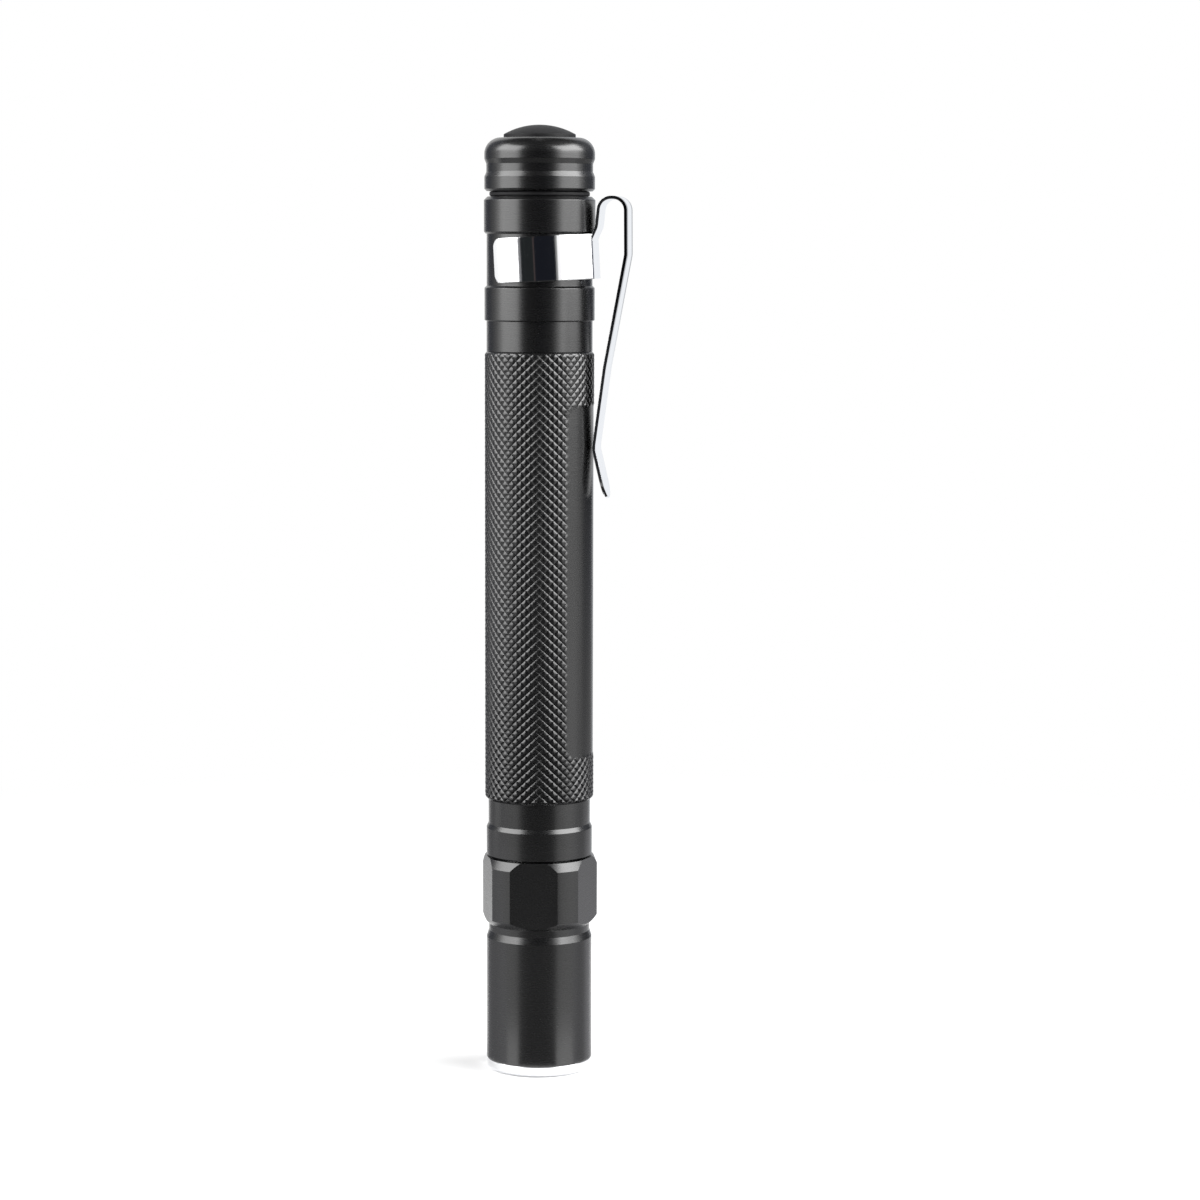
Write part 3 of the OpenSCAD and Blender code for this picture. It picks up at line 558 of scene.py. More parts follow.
def phosphor_paint(start):
    place = start.node("TexCoord", output="Object")
    flat = start.node("VectorMath", {"operation": "MULTIPLY"}, {0: place, 1: (1, 1, 0)})
    reach = start.node("VectorMath", {"operation": "LENGTH"}, {0: flat}, "Value")
    grain = spots(start, (12, 12, 12), 2)
    chip = 1 - (reach + chip_grain * grain).ease(chip_r, chip_edge_r)
    return {
        "Base Color": chip.colour((0.78, 0.80, 0.74, 1), (0.86, 0.70, 0.10, 1)),
        "Roughness": 0.06 + 0.05 * grain,
    }


phosphor_dome = finish("phosphor_dome", {"Coat Weight": 1, "IOR": 1.41}, phosphor_paint)
dome_r, dome_base, dome_steps = 1.3, 11.6, 16
dome_line = [Vector((0, dome_base))]
for step in range(dome_steps + 1):
    angle = pi / 2 * step / dome_steps
    dome_line.append(Vector((dome_r * cos(angle), dome_base - dome_r * sin(angle))))
dome = turned("emitter_dome", dome_line)
dressed(dome, phosphor_dome, "emitter_dome", "head", "led_dome")
white_plastic = moulded("white_collar_plastic", (0.76, 0.76, 0.73), (0.86, 0.86, 0.84), 0.5)
carried(white_plastic, "led_collar")
ceramic = moulded("pale_ceramic", (0.78, 0.76, 0.69), (0.88, 0.86, 0.80), 0.65, 0.008)
carried(ceramic, "led_base")


def board(name, mask, track):
    """Solder mask over copper tracks that show through as a slightly paler pattern."""
    def paint(start):
        place = start.node("TexCoord", output="Object")
        scaled = start.node(
            "VectorMath", {"operation": "SCALE"}, {0: place, "Scale": 1 / MM}
        )
        tracks = start.node(
            "TexBrick", {"offset": 0.37, "squash": 1.0},
            {"Vector": scaled, "Scale": 1, "Mortar Size": 0.09, "Brick Width": 2.3,
             "Row Height": 0.8}, "Fac",
        )
        grain = spots(start, (8, 8, 8))
        return {
            "Base Color": tracks.colour((*mask, 1), (*track, 1)),
            "Roughness": 0.28 + 0.10 * grain,
            "Normal": relief(start, tracks, 0.03, 0.6),
        }

    return finish(name, {"Coat Weight": 0.3}, paint)


carried(board("white_mask", (0.74, 0.75, 0.74), (0.84, 0.85, 0.84)), "led_board")


# ---- Heat sink and driver ------------------------------------------------------------
# A turned brass plate with a cup behind it. The driver board is soldered into the cup,
# with its chip and choke inside, and two silicone wires run forward to the emitter.
def machined(name, low, high, roughness):
    """Bare metal between two colours, with the fine lines of the lathe or the die."""
    def paint(start):
        lines = spots(start, (0.6, 0.6, 9), 2)
        stain = spots(start, (0.5, 0.5, 0.5), 3)
        return {
            "Base Color": stain.colour((*low, 1), (*high, 1)),
            "Roughness": roughness - 0.04 + 0.10 * lines + 0.06 * stain,
            "Normal": relief(start, lines, 0.002),
        }

    return finish(name, {"Metallic": 1}, paint)


turned_brass = machined("turned_brass", (0.62, 0.42, 0.16), (0.80, 0.60, 0.28), 0.24)
carried(turned_brass, "heat_sink")
red_silicone = moulded("red_silicone", (0.50, 0.035, 0.03), (0.62, 0.06, 0.05), 0.35)
carried(red_silicone, "lead_wire_plus")
black_silicone = moulded("black_silicone", (0.02, 0.02, 0.02), (0.04, 0.04, 0.04), 0.35)
carried(black_silicone, "lead_wire_minus")
green_mask = board("green_mask", (0.012, 0.10, 0.035), (0.03, 0.20, 0.07))
carried(green_mask, "driver_board")
chip_epoxy = moulded("chip_epoxy", (0.012, 0.012, 0.013), (0.03, 0.03, 0.03), 0.55, 0.01)
carried(chip_epoxy, "driver_parts")


# ---- Front spring --------------------------------------------------------------------
# The conical contact spring between the driver and the front cell, wound from nickel
# plated wire. Its wide end is soldered to the board.
def coil(name, radii, heights, turns, wire_r):
    """Round wire wound from the first radius and height to the second ones."""
    sides, steps_a_turn = 10, 32
    steps = ceil(turns * steps_a_turn)
    low, high = heights[0] + wire_r, heights[1] - wire_r
    points, faces = [], []
    for step in range(steps + 1):
        part = step / steps
        turn = 2 * pi * turns * part
        for side in range(sides):
            angle = 2 * pi * side / sides
            r = radii[0] + (radii[1] - radii[0]) * part + wire_r * cos(angle)
            z = low + (high - low) * part + wire_r * sin(angle)
            points.append((r * cos(turn), r * sin(turn), z))
    for step in range(steps):
        for side in range(sides):
            a, b = step * sides + side, step * sides + (side + 1) % sides
            faces.append((a, b, b + sides, a + sides))
    faces += [tuple(range(sides)), tuple(range(steps * sides, (steps + 1) * sides))]
    return piece_from(name, points, faces, sharp=60)


nickel_wire = machined("nickel_wire", (0.70, 0.69, 0.66), (0.82, 0.81, 0.79), 0.20)
front_spring = coil(
    "front_contact_spring", radii=(2.4, 1.2), heights=(18.22, 20.48), turns=2.5, wire_r=0.2
)
dressed(front_spring, nickel_wire, "spring_nickel", "head", "front_spring")


# ---- Head ----------------------------------------------------------------------------
# The barrel, the waist and the collar with five flats, turned and milled as one piece
# from aluminium bar and anodised satin black. Everything in front sits in its bores.
anodised_dark, anodised_pale = (0.0020, 0.0020, 0.0022, 1), (0.0045, 0.0045, 0.0048, 1)
anodised_roughness = 0.27


def anodised_paint(start):
    lines = spots(start, (0.3, 0.3, 5), 3)
    grain = spots(start, (9, 9, 9), 2)
    cloud = spots(start, (0.25, 0.25, 0.1))
    shade = 0.5 * cloud + 0.5 * grain
    return {
        "Base Color": shade.colour(anodised_dark, anodised_pale),
        "Roughness": anodised_roughness - 0.05 + 0.06 * lines + 0.04 * cloud,
        "Normal": relief(start, 0.6 * lines + 0.4 * grain, 0.0025),
    }


black_anodised = finish("black_anodised", {"Specular IOR Level": 1.0}, anodised_paint)
barrel_r, waist_r, collar_r, collar_end_r = 7.0, 6.7, 7.7, 7.23
barrel_to, waist_from, waist_to = 17.8, 18.7, 19.6
collar_from, collar_to, head_to = 20.6, 27.55, 28.7
rim_seat_r, rim_seat_to = 6.27, 3.8
optics_bore_r, optics_bore_to = 6.0, 14.8
sink_bore_r, sink_bore_to, neck_bore_r = 5.5, 21.2, 6.25
head = turned("head_body", rounded([
    (rim_seat_r, rim_h), (barrel_r, rim_h, 0.12), (barrel_r, barrel_to, 0.12),
    (waist_r, waist_from, 0.15), (waist_r, waist_to, 0.08), (collar_r, collar_from, 0.12),
    (collar_r, collar_to, 0.12), (collar_end_r, head_to, 0.06),
    (neck_bore_r, head_to, 0.06), (neck_bore_r, sink_bore_to),
    (sink_bore_r, sink_bore_to), (sink_bore_r, optics_bore_to),
    (optics_bore_r, optics_bore_to), (optics_bore_r, rim_seat_to),
    (rim_seat_r, rim_seat_to),
]), columns=240)

# Each flat cuts off the metal outside it, and the cut is closed again.
flat_count, flat_turn, flat_offset, head_crease = 5, -14, 7.02, 12
shell = bmesh.new()
shell.from_mesh(head.data)
for index in range(flat_count):
    turn = radians(flat_turn + index * 360 / flat_count)
    out = Vector((cos(turn), sin(turn), 0))
    bmesh.ops.bisect_plane(
        shell, geom=shell.verts[:] + shell.edges[:] + shell.faces[:], dist=1e-8,
        plane_co=out * flat_offset * MM, plane_no=out, clear_outer=True,
    )
    cut_edges = [edge for edge in shell.edges if edge.is_boundary]
    bmesh.ops.edgeloop_fill(shell, edges=cut_edges)
bmesh.ops.recalc_face_normals(shell, faces=shell.faces)
shell.to_mesh(head.data)
shell.free()
head.data.polygons.foreach_set("use_smooth", [True] * len(head.data.polygons))
head.data.set_sharp_from_angle(angle=radians(head_crease))
dressed(head, black_anodised, "black_anodised", "head", "head_shell")


# ---- Front seal ----------------------------------------------------------------------
# Rubber ring in the groove of the tube's threaded neck. It keeps water out of the
# screwed joint and turns with the tube inside the head.
def seal_outline(inner_r, thick, z_from, z_to):
    """Section of a rubber ring, with its ends rounded to almost half its thickness."""
    half = thick / 2 - 0.001
    return rounded([
        (inner_r, z_from, half), (inner_r + thick, z_from, half),
        (inner_r + thick, z_to, half), (inner_r, z_to, half),
    ], segments=6)


front_seal = turned("neck_ring_seal", seal_outline(
    inner_r=5.88, thick=0.34, z_from=27.1, z_to=28.1
))
dressed(front_seal, black_rubber, "rubber_black", "neck_seal", "front_seal")


# ---- Tube ----------------------------------------------------------------------------
# Turned from aluminium tube and anodised satin black. The grip is diamond knurled with a
# smooth panel under the clip, the front neck is threaded and carries the seal's groove.
knurl_starts, knurl_pitch, knurl_depth, steps_a_start = 36, 1.145, 0.125, 6
knurl_across, knurl_height = [0, 1 / 3, 2 / 3, 1], [0, 0.58, 0.83, 1]
grip_r, grip_from, grip_to, grip_chamfer = 7.2, 36.4, 95.6, 0.35
panel_floor_r, panel_half_w, panel_from, panel_to = 7.1, 5.4, 42.5, 88.5
panel_corner, panel_edge = 1.2, 0.2
thread_pitch, thread_root_r, thread_crest_r = 0.75, 5.87, 6.18
rows_a_pitch, thread_run_out, flank_slope, root_flat = 8, 0.4, 1.6, 0.2
columns = knurl_starts * steps_a_start
around = np.arange(columns)
angles = 2 * pi * around / columns


def groove_distance(phase):
    """0 on a groove of one hand and 1 midway between two of them."""
    return 1 - np.abs(2 * (phase % 1) - 1)


def knurl_row(z):
    """Radius around the grip at one height."""
    across = around / steps_a_start
    along = z / knurl_pitch
    near = np.minimum(groove_distance(across + along), groove_distance(across - along))
    r = grip_r - knurl_depth * (1 - np.interp(near, knurl_across, knurl_height))

    # The smooth panel, a rounded rectangle milled into the knurl on the clip's side
    y = grip_r * np.sin(angles)
    side_room = np.maximum(np.abs(y) - (panel_half_w - panel_corner), 0)
    middle = (panel_from + panel_to) / 2
    end_room = max(abs(z - middle) - ((panel_to - panel_from) / 2 - panel_corner), 0)
    beyond = np.hypot(side_room, end_room) - panel_corner
    beyond = np.where(np.cos(angles) > 0, beyond, 1)
    panel = np.clip(beyond / panel_edge, 0, 1)
    r = panel_floor_r + (r - panel_floor_r) * panel

    from_end = min(z - grip_from, grip_to - z)
    return np.minimum(r, grip_r - grip_chamfer + max(from_end, 0))


def thread_rows(z_from, z_to, root_r, crest_r):
    """Rows of a screw thread with flat crests and roots, which runs out at both ends."""
    rows = []
    count = ceil((z_to - z_from) / thread_pitch * rows_a_pitch)
    for step in range(count + 1):
        z = z_from + (z_to - z_from) * step / count
        turn = (z / thread_pitch - angles / (2 * pi)) % 1
        crest = np.clip(flank_slope * (1 - np.abs(2 * turn - 1)) - root_flat, 0, 1)
        fade = min(1, (z - z_from) / thread_run_out, (z_to - z) / thread_run_out)
        rows.append((crest_r - (crest_r - root_r) * (1 - crest) * fade, z))
    return rows


def turned_and_cut(name, rows, sharp, cells=None):
    """A turned piece whose rows may have a radius of their own in each column.

    The faces of the rows in cells are split along the knurl's grooves.
    """
    points = []
    for r, z in rows:
        r = np.broadcast_to(r, columns)
        points += [
            (x, y, z)
            for x, y in zip((r * np.cos(angles)).tolist(), (r * np.sin(angles)).tolist())
        ]
    faces = []
    for row in range(len(rows)):
        low, high = row * columns, (row + 1) % len(rows) * columns
        for column in range(columns):
            after = (column + 1) % columns
            a, b, c, d = low + column, low + after, high + after, high + column
            slant = cells.get(row) if cells else None
            if slant is not None and (column - slant) % steps_a_start == 0:
                faces += [(a, b, c), (a, c, d)]
            elif slant is not None and (column + slant + 1) % steps_a_start == 0:
                faces += [(a, b, d), (b, c, d)]
            else:
                faces.append((a, b, c, d))
    return piece_from(name, points, faces, sharp=sharp)


cell_bore_r, neck_tip_r, neck_r, neck_from = 5.45, 5.75, 6.2, 21.6
neck_thread_from, neck_thread_to = 22.3, 26.6
seal_groove_r, seal_groove_from, seal_groove_to = 5.8, 27.0, 28.2
front_ring_r, front_ring_from, front_ring_to = 7.0, 28.9, 32.55
lower_neck_r, lower_neck_from = 6.73, 33.12
rows = [(cell_bore_r, neck_from)]
rows += [tuple(p) for p in rounded([
    (cell_bore_r, neck_from), (neck_tip_r, neck_from, 0.05),
    (neck_r, neck_from + neck_r - neck_tip_r, 0.1), (neck_r, neck_thread_from),
])[1:]]
rows += thread_rows(neck_thread_from, neck_thread_to, thread_root_r, thread_crest_r)
rows += [tuple(p) for p in rounded([
    (neck_r, neck_thread_to), (neck_r, seal_groove_from, 0.06),
    (seal_groove_r, seal_groove_from, 0.05), (seal_groove_r, seal_groove_to, 0.05),
    (neck_r, seal_groove_to, 0.06), (neck_r, front_ring_from, 0.05),
    (front_ring_r, front_ring_from, 0.12), (front_ring_r, front_ring_to, 0.15),
    (lower_neck_r, lower_neck_from, 0.04), (lower_neck_r, grip_from, 0.04),
    (grip_r - grip_chamfer, grip_from),
])[1:]]

# The grip: rows in step with the knurl, so that its grooves run along the cells' edges
cells = {}
step = knurl_pitch / steps_a_start
row_room = 0.3
first_step = ceil(grip_from / step + row_room)
last_step = int(grip_to / step - row_room)
for index in range(first_step, last_step + 1):
    cells[len(rows)] = index
    rows.append((knurl_row(index * step), index * step))
del cells[len(rows) - 1]

upper_neck_r = 6.94
mid_ring_r, mid_ring_from, mid_ring_to = 7.21, 99.6, 103.85
seat_r, seat_from, seat_to = 6.92, 104.14, 110.9
rear_ring_r, rear_ring_from, rear_ring_to = 7.28, 111.14, 115.25
rear_ring_front_r, rear_ring_end_r, tube_to = 7.04, 6.83, 115.7
cap_bore_r, cap_bore_from, bore_half_way = 6.2, 109.2, 100
rows += [tuple(p) for p in rounded([
    (grip_r - grip_chamfer, grip_to), (upper_neck_r, grip_to, 0.04),
    (upper_neck_r, mid_ring_from, 0.05), (mid_ring_r, mid_ring_from, 0.12),
    (mid_ring_r, mid_ring_to, 0.15), (seat_r, seat_from, 0.04), (seat_r, seat_to, 0.05),
    (rear_ring_front_r, seat_to, 0.03), (rear_ring_r, rear_ring_from, 0.10),
    (rear_ring_r, rear_ring_to, 0.15), (rear_ring_end_r, tube_to, 0.06),
    (cap_bore_r, tube_to, 0.04), (cap_bore_r, cap_bore_from), (cell_bore_r, cap_bore_from),
    (cell_bore_r, bore_half_way),
])]
tube = turned_and_cut("grip_tube", rows, sharp=22, cells=cells)
dressed(tube, black_anodised, "black_anodised", "tube", "body_tube")


# ---- Cells ---------------------------------------------------------------------------
# Two AAA cells, nose forward in the tube. Each is a drawn steel can with a nub, a plain
# film that is shrunk over its edges, and a grey seal around the nub.
cell_length, can_r, film_r, nub_r, nub_h = 44.5, 5.1, 5.2, 1.9, 1
dish_r, dish_floor_r, dish_depth = 4.3, 4.1, 0.06
seal_hole_r, seal_depth, film_end = 2.9, 0.6, 0.1
can_steel = machined("can_steel", (0.66, 0.66, 0.65), (0.80, 0.80, 0.79), 0.22)
cell_film = moulded(
    "cell_film", (0.022, 0.055, 0.105), (0.035, 0.080, 0.145), 0.22,
    grain_mm=0.003, coat=0.5,
)
seal_plastic = moulded("seal_plastic", (0.16, 0.16, 0.16), (0.24, 0.24, 0.24), 0.5)
for cell, nose in (("front_cell", 20.5), ("rear_cell", 65.0)):
    end, shoulder = nose + cell_length, nose + nub_h
    can = turned(f"{cell}_steel_can", rounded([
        (0, nose), (nub_r, nose, 0.25), (nub_r, shoulder, 0.1), (can_r, shoulder, 0.3),
        (can_r, end, 0.35), (dish_r, end), (dish_floor_r, end - dish_depth),
        (0, end - dish_depth),
    ]))
    dressed(can, can_steel, "cell_steel", "tube", f"{cell}_can")
    film = turned(f"{cell}_film", rounded([
        (can_r, nose + seal_depth), (film_r, nose + seal_depth, 0.04),
        (film_r, end - film_end, 0.04), (can_r, end - film_end),
    ]))
    dressed(film, cell_film, "cell_wrap", "tube", f"{cell}_wrap")
    nub_seal = turned(f"{cell}_nub_seal", rounded([
        (seal_hole_r, nose + seal_depth, 0.08), (can_r, nose + seal_depth),
        (can_r, shoulder), (seal_hole_r, shoulder),
    ]))
    dressed(nub_seal, seal_plastic, "cell_seal", "tube", f"{cell}_seal")


# ---- Pocket clip ---------------------------------------------------------------------
# One strip of spring steel, blanked as a T, rolled into an open band that snaps on its
# seat, bent into a loop and a sprung arm, and bright chromed.
sheet, edge_break, clip_crease = 0.4, 0.07, 50
band_mid_r, band_h, band_z, band_lean = 7.32, 5.8, 107.6, 3
band_open, band_corner, band_edge = 96, 1.1, 0.2
arm_w, root_h, under_root_h, slit = 5.0, 2.0, 1.2, 0.12
pad_half, pad_bend = 2.6, 0.25
tip_r = arm_w / 2


def bends(corners, bend_step=4):
    """Points along a path whose corners have the bend radius in their third value."""
    line = [Vector(corners[0][:2])]
    for before, here, after in zip(corners, corners[1:], corners[2:]):
        radius = here[2]
        middle, begin, sweep = corner_arc(
            Vector(before[:2]), Vector(here[:2]), Vector(after[:2]), radius
        )
        count = max(2, ceil(abs(degrees(sweep)) / bend_step))
        for step in range(count + 1):
            angle = begin + sweep * step / count
            line.append(middle + radius * Vector((cos(angle), sin(angle))))
    line.append(Vector(corners[-1][:2]))
    return line


def walk(line):
    """Length along a path at each of its points."""
    reach = [0.0]
    for a, b in zip(line, line[1:]):
        reach.append(reach[-1] + (b - a).length)
    return reach


def point_at(line, reach, length):
    """Point of a path at a length along it."""
    x = np.interp(length, reach, [p.x for p in line])
    y = np.interp(length, reach, [p.y for p in line])
    return float(x), float(y)


# The band's middle line, seen from above, from its flat pad to its free end
touch = 2 * atan2(pad_half, band_mid_r)
plan = bends([
    (band_mid_r, 0), (band_mid_r, pad_half, pad_bend),
    (band_mid_r * cos(touch), band_mid_r * sin(touch)),
])
free_end, arc_points = radians(180 - band_open / 2), 40
plan += [
    Vector((band_mid_r * cos(a), band_mid_r * sin(a)))
    for a in np.linspace(touch, free_end, arc_points)[1:]
]
plan_reach = walk(plan)
half_length = plan_reach[-1]

# Columns of the strip on one side of its middle: under the arm, beside it and at the end
arm_columns = [tip_r * sin(radians(a)) for a in (0, 12, 24, 36, 48, 60, 72, 90)]
side_columns = [tip_r + slit, tip_r + 2 * slit, tip_r + 3 * slit]
side_columns += [
    r for r in plan_reach if tip_r + 3.5 * slit < r < half_length - band_corner
]
end_columns = [
    half_length - band_corner * (1 - sin(radians(a))) for a in np.linspace(0, 90, 7)
]
half_columns = arm_columns + side_columns + end_columns
across = [-c for c in reversed(half_columns[1:])] + half_columns

# The band, which leans, and has a slit on each side of the arm's root
edge_row = band_h / 2 - band_edge
heights = [-band_h / 2, -edge_row, 0, under_root_h, root_h, edge_row, band_h / 2]
points, faces, index_of = [], [], {}
lean = radians(band_lean)
for i, s in enumerate(across):
    x, y = point_at(plan, plan_reach, abs(s))
    y = y if s >= 0 else -y
    from_end = half_length - abs(s)
    drop = 0
    if from_end < band_corner:
        drop = band_corner - sqrt(max(band_corner**2 - (band_corner - from_end) ** 2, 0))
    for j, h in enumerate(heights):
        high = h * (1 - drop / (band_h / 2))
        index_of[i, j] = len(points)
        points.append((
            x * cos(lean) - high * sin(lean), y, band_z + x * sin(lean) + high * cos(lean)
        ))
root_row = heights.index(root_h)
for i in range(len(across) - 1):
    in_slit = max(abs(across[i]), abs(across[i + 1])) < tip_r + slit + 0.01
    for j in range(len(heights) - 1):
        if not (in_slit and j >= root_row):
            faces.append((index_of[i, j], index_of[i + 1, j],
                          index_of[i + 1, j + 1], index_of[i, j + 1]))

# The arm, which goes on from its root along its side view, given as x, z and bend radius
root = (
    band_mid_r * cos(lean) - root_h * sin(lean),
    band_z + band_mid_r * sin(lean) + root_h * cos(lean),
)
spine = bends([
    root, (7.19, 110.3, 0.5), (7.88, 111.8, 2), (8.28, 115.6, 1.68), (11.68, 115.6, 1.68),
    (11.73, 108.2, 2.5), (9.0, 93.6, 12), (7.55, 83.0, 3), (9.11, 76.45),
])
spine_reach = walk(spine)
arm_length = spine_reach[-1]
arm_rows = [r for r in spine_reach[1:] if r < arm_length - tip_r - 0.1]
arm_across = [i for i, s in enumerate(across) if abs(s) <= tip_r + 0.001]
below = {i: index_of[i, root_row] for i in arm_across}
tip_steps = 8
for row in arm_rows + list(range(tip_steps + 1)):
    here = {}
    for i in arm_across:
        length = row
        if isinstance(row, int):
            round_end = sqrt(max(tip_r**2 - across[i] ** 2, 0))
            length = arm_length - tip_r + round_end * row / tip_steps
        x, z = point_at(spine, spine_reach, length)
        here[i] = len(points)
        points.append((x, across[i], z))
    for i in arm_across[:-1]:
        faces.append((below[i], below[i + 1], here[i + 1], here[i]))
    below = here


def applied(piece):
    """Keeps the result of a piece's modifiers as its mesh."""
    bpy.context.view_layer.update()
    seen = piece.evaluated_get(bpy.context.evaluated_depsgraph_get())
    made = bpy.data.meshes.new_from_object(seen)
    piece.modifiers.clear()
    piece.data = made


clip = piece_from("spring_clip", points, faces)
solid = clip.modifiers.new("sheet", "SOLIDIFY")
solid.thickness = sheet * MM
solid.offset = 0
solid.use_even_offset = True
soften = clip.modifiers.new("edges", "BEVEL")
soften.width = edge_break * MM
soften.segments = 2
soften.limit_method = "ANGLE"
soften.angle_limit = radians(clip_crease)
applied(clip)
clip.data.polygons.foreach_set("use_smooth", [True] * len(clip.data.polygons))
clip.data.set_sharp_from_angle(angle=radians(clip_crease))

# Spans across the strip and out from the axis over which its long edges get a painted shade
edge_shade_span, loop_shade_span = (1.3 * MM, 1.9 * MM), (8.5 * MM, 11.8 * MM)


def chrome_paint(start):
    lines = spots(start, (6, 6, 0.15), 3)
    cloud = spots(start, (0.3, 0.3, 0.3))
    shade = 0.6 * lines.ease(0.3, 0.7) + 0.4 * cloud
    place = start.node("TexCoord", output="Object")
    outward = start.node("SeparateXYZ", None, {"Vector": place})
    sideways = outward.math("ABSOLUTE", outward.beside("Y"))
    # Painted shade: where the arm and the loop stand out from the tube, the strip's long
    # edges are painted dark grey
    painted_edge_shade = sideways.ease(*edge_shade_span) * outward.ease(*loop_shade_span)
    bright = shade.colour((0.90, 0.91, 0.92, 1), (0.98, 0.98, 0.99, 1))
    return {
        "Base Color": painted_edge_shade.colour(bright, (0.12, 0.12, 0.13, 1)),
        "Roughness": 0.05 + 0.06 * lines,
        "Normal": relief(start, lines, 0.0005),
    }


bright_chrome = finish("bright_chrome", {"Metallic": 1}, chrome_paint)
clip.data.materials.append(bright_chrome)
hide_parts("clip_band", "clip_arm")
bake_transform(clip)


# ---- Tail seal -----------------------------------------------------------------------
# Rubber ring that fills the gap between the tube and the tail cap and is pinched there
# when the cap is screwed home.
tail_seal = turned("tail_ring_seal", seal_outline(
    inner_r=6.18, thick=0.38, z_from=115.75, z_to=116.35
))
dressed(tail_seal, black_rubber, "rubber_black", "cap_seal", "tail_seal")


# ---- Tail cap ------------------------------------------------------------------------
# Turned from aluminium bar with a shallow groove and a rounded rear edge, anodised like
# the tube. Its threaded skirt screws into the tube and it holds the switch.
cap_r, cap_from, cap_to = 7.22, 116.4, 123.3
cap_front_r, cap_bevel_to, cap_groove_r = 6.92, 116.7, 6.96
cap_groove_heights = (118.27, 118.91, 119.93, 120.57)
skirt_r, skirt_crest_r, skirt_root_r = 6.15, 6.13, 5.82
skirt_tip_r, skirt_from, skirt_bevel_to = 6.05, 109.8, 109.9
skirt_thread_from, skirt_thread_to = 109.95, 115.2
cap_hole_r, wall_from, switch_bore_r, switch_bore_from = 4.75, 121.9, 5.3, 115.0
round_z, cap_round, round_start_r, round_start_z = 121.2, 2.15, 7.215, 121.35
round_steps, round_step, round_end_r, round_end_gap = 20, 4.3, 5.5, 0.01
cap_rows = [
    (switch_bore_r, skirt_from), (skirt_tip_r, skirt_from), (skirt_crest_r, skirt_bevel_to),
]
cap_rows += thread_rows(skirt_thread_from, skirt_thread_to, skirt_root_r, skirt_crest_r)
cap_rows += [tuple(p) for p in rounded([
    (skirt_r, skirt_thread_to), (skirt_r, cap_from, 0.05), (cap_front_r, cap_from, 0.03),
    (cap_r, cap_bevel_to, 0.10), (cap_r, cap_groove_heights[0], 0.20),
    (cap_groove_r, cap_groove_heights[1], 0.20),
    (cap_groove_r, cap_groove_heights[2], 0.20), (cap_r, cap_groove_heights[3], 0.20),
    (cap_r, round_z), (round_start_r, round_start_z),
])[1:]]

# The rounded rear edge, which meets the flat end at a slight angle
for step in range(2, round_steps + 1):
    angle = radians(round_step * step)
    z = round_z + cap_round * sin(angle)
    if z < cap_to - round_end_gap:
        cap_rows.append((cap_r - cap_round + cap_round * cos(angle), z))
cap_rows += [tuple(p) for p in rounded([
    (round_end_r, cap_to), (cap_hole_r, cap_to, 0.08), (cap_hole_r, wall_from, 0.02),
    (switch_bore_r, wall_from), (switch_bore_r, switch_bore_from),
])]
cap = turned_and_cut("tail_cap_body", cap_rows, sharp=35)
dressed(cap, black_anodised, "black_anodised", "cap", "tail_cap")


# ---- Switch --------------------------------------------------------------------------
# A click switch on a round board, held in the cap by a brass ring with spanner slots.
# Its moulded housing takes the return spring, the red ratchet and the plunger.
carried(turned_brass, "retaining_ring")
tail_spring = coil(
    "tail_contact_spring", radii=(2, 3.4), heights=(109.55, 113.98), turns=4.5, wire_r=0.25
)
dressed(tail_spring, nickel_wire, "spring_nickel", "cap", "tail_spring")
carried(green_mask, "switch_board")
strip_brass = machined("strip_brass", (0.70, 0.50, 0.20), (0.84, 0.66, 0.34), 0.18)
carried(strip_brass, "switch_contact_left", "switch_contact_right")
switch_plastic = moulded("switch_plastic", (0.70, 0.66, 0.56), (0.80, 0.77, 0.68), 0.42)
housing_in_r, housing_r, housing_from, housing_to = 3.5, 4.2, 114.8, 120.0
housing_hole_r, housing_roof = 1.6, 119.3
housing = turned("click_housing", rounded([
    (housing_in_r, housing_from), (housing_r, housing_from, 0.1),
    (housing_r, housing_to, 0.25), (housing_hole_r, housing_to, 0.08),
    (housing_hole_r, housing_roof), (housing_in_r, housing_roof),
]))
dressed(housing, switch_plastic, "switch_plastic", "cap", "switch_housing")
return_spring = coil(
    "click_return_spring", radii=(2.4, 2.4), heights=(114.85, 117.13), turns=4, wire_r=0.1
)
return_spring.data.materials.append(nickel_wire)
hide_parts("switch_spring")
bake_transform(return_spring)
ratchet_red = moulded("ratchet_plastic", (0.55, 0.06, 0.04), (0.68, 0.10, 0.07), 0.38)
carried(ratchet_red, "switch_ratchet")
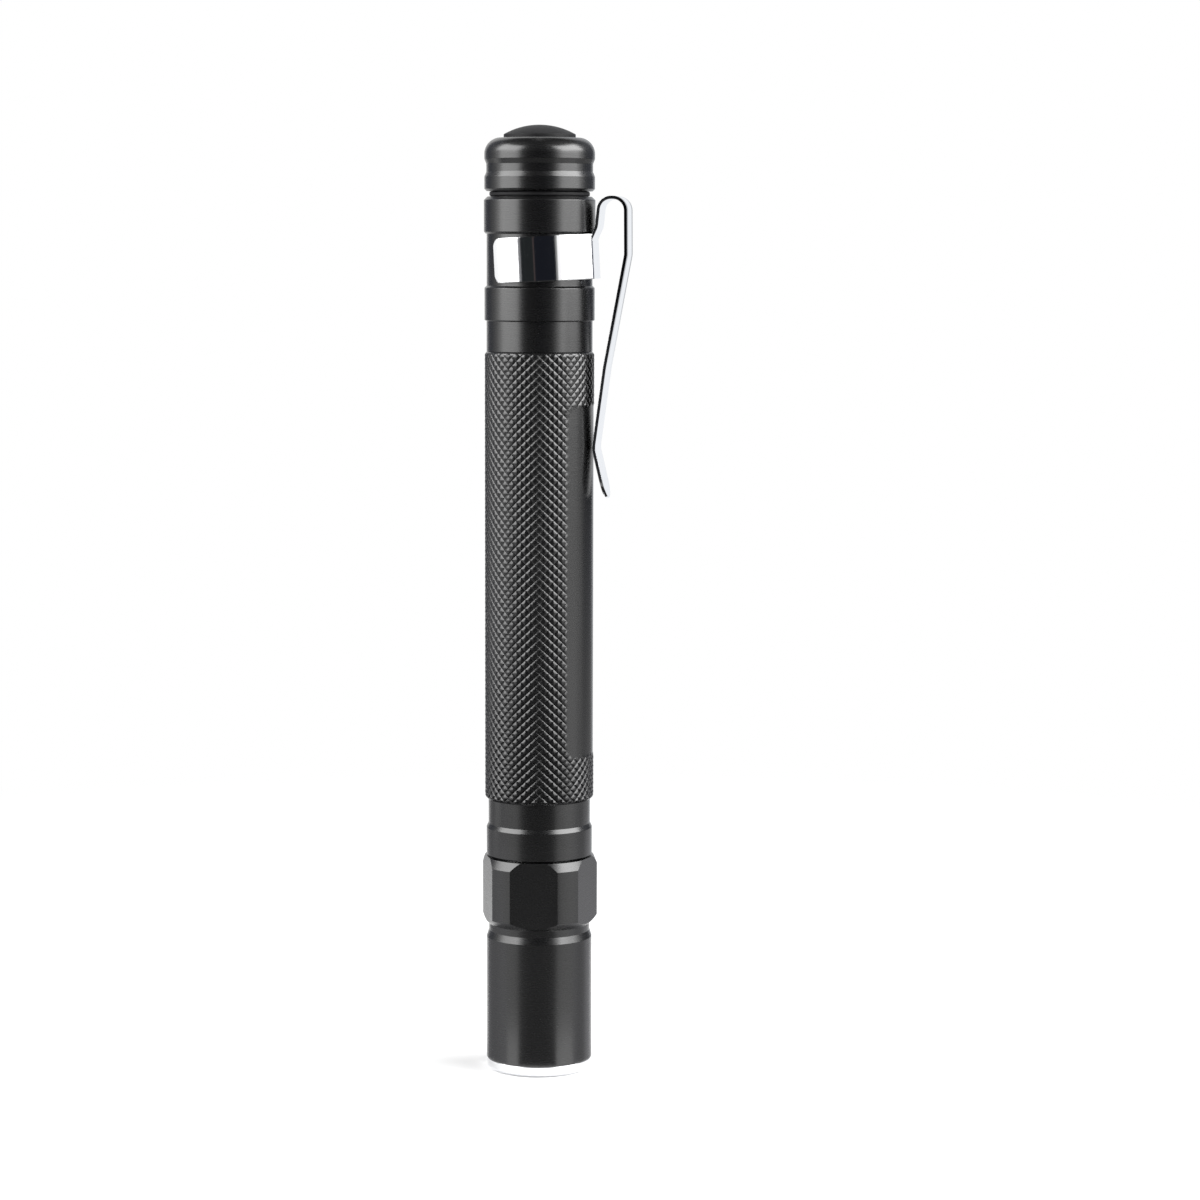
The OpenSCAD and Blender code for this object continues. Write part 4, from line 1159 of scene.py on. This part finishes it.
foot_r, foot_from, foot_to, stem_r, stem_to = 3.0, 118.3, 119.1, 1.5, 124.02
plunger = turned("click_plunger", rounded([
    (0, foot_from), (foot_r, foot_from, 0.1), (foot_r, foot_to, 0.1), (stem_r, foot_to),
    (stem_r, stem_to, 0.2), (0, stem_to),
]))
dressed(plunger, switch_plastic, "switch_plastic", "button", "switch_plunger")
washer_bore_r, washer_r, washer_from, washer_to = 2.3, 5.25, 120.0, 121.0
washer = turned("button_seat_washer", rounded([
    (washer_bore_r, washer_from, 0.15), (washer_r, washer_from, 0.15),
    (washer_r, washer_to, 0.15), (washer_bore_r, washer_to, 0.15),
]))
washer_plastic = moulded("washer_plastic", (0.60, 0.60, 0.56), (0.70, 0.70, 0.67), 0.48)
dressed(washer, washer_plastic, "washer_plastic", "cap", "button_washer")


# ---- Push button ---------------------------------------------------------------------
# A moulded rubber boot: its flange is clamped under the cap's end wall, and its domed
# crown comes out through the hole and gives when it is pressed.
boot_flange_r, boot_from, boot_flange_to = 5.25, 121.0, 121.88
crown_r, crown_edge_r, crown_edge_from, crown_edge_to = 4.7, 4.55, 123.76, 123.846
ball_r, ball_z, crown_wall, crown_in_r, crown_steps = 9.5, 115.504, 0.8, 3.9, 12
boot_line = rounded([
    (boot_flange_r, boot_from, 0.1), (boot_flange_r, boot_flange_to, 0.1),
    (crown_r, boot_flange_to), (crown_r, crown_edge_from, 0.12),
    (crown_edge_r, crown_edge_to),
])
hollow_r = ball_r - crown_wall
for step in range(1, crown_steps + 1):
    angle = asin(crown_edge_r / ball_r) * (1 - step / crown_steps)
    boot_line.append(Vector((ball_r * sin(angle), ball_z + ball_r * cos(angle))))
for step in range(crown_steps + 1):
    angle = asin(crown_in_r / hollow_r) * step / crown_steps
    boot_line.append(Vector((hollow_r * sin(angle), ball_z + hollow_r * cos(angle))))
boot_line.append(Vector((crown_in_r, boot_from)))
boot = turned("button_cover", boot_line)
boot.data.materials.append(black_rubber)
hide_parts("button_boot")
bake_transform(boot)
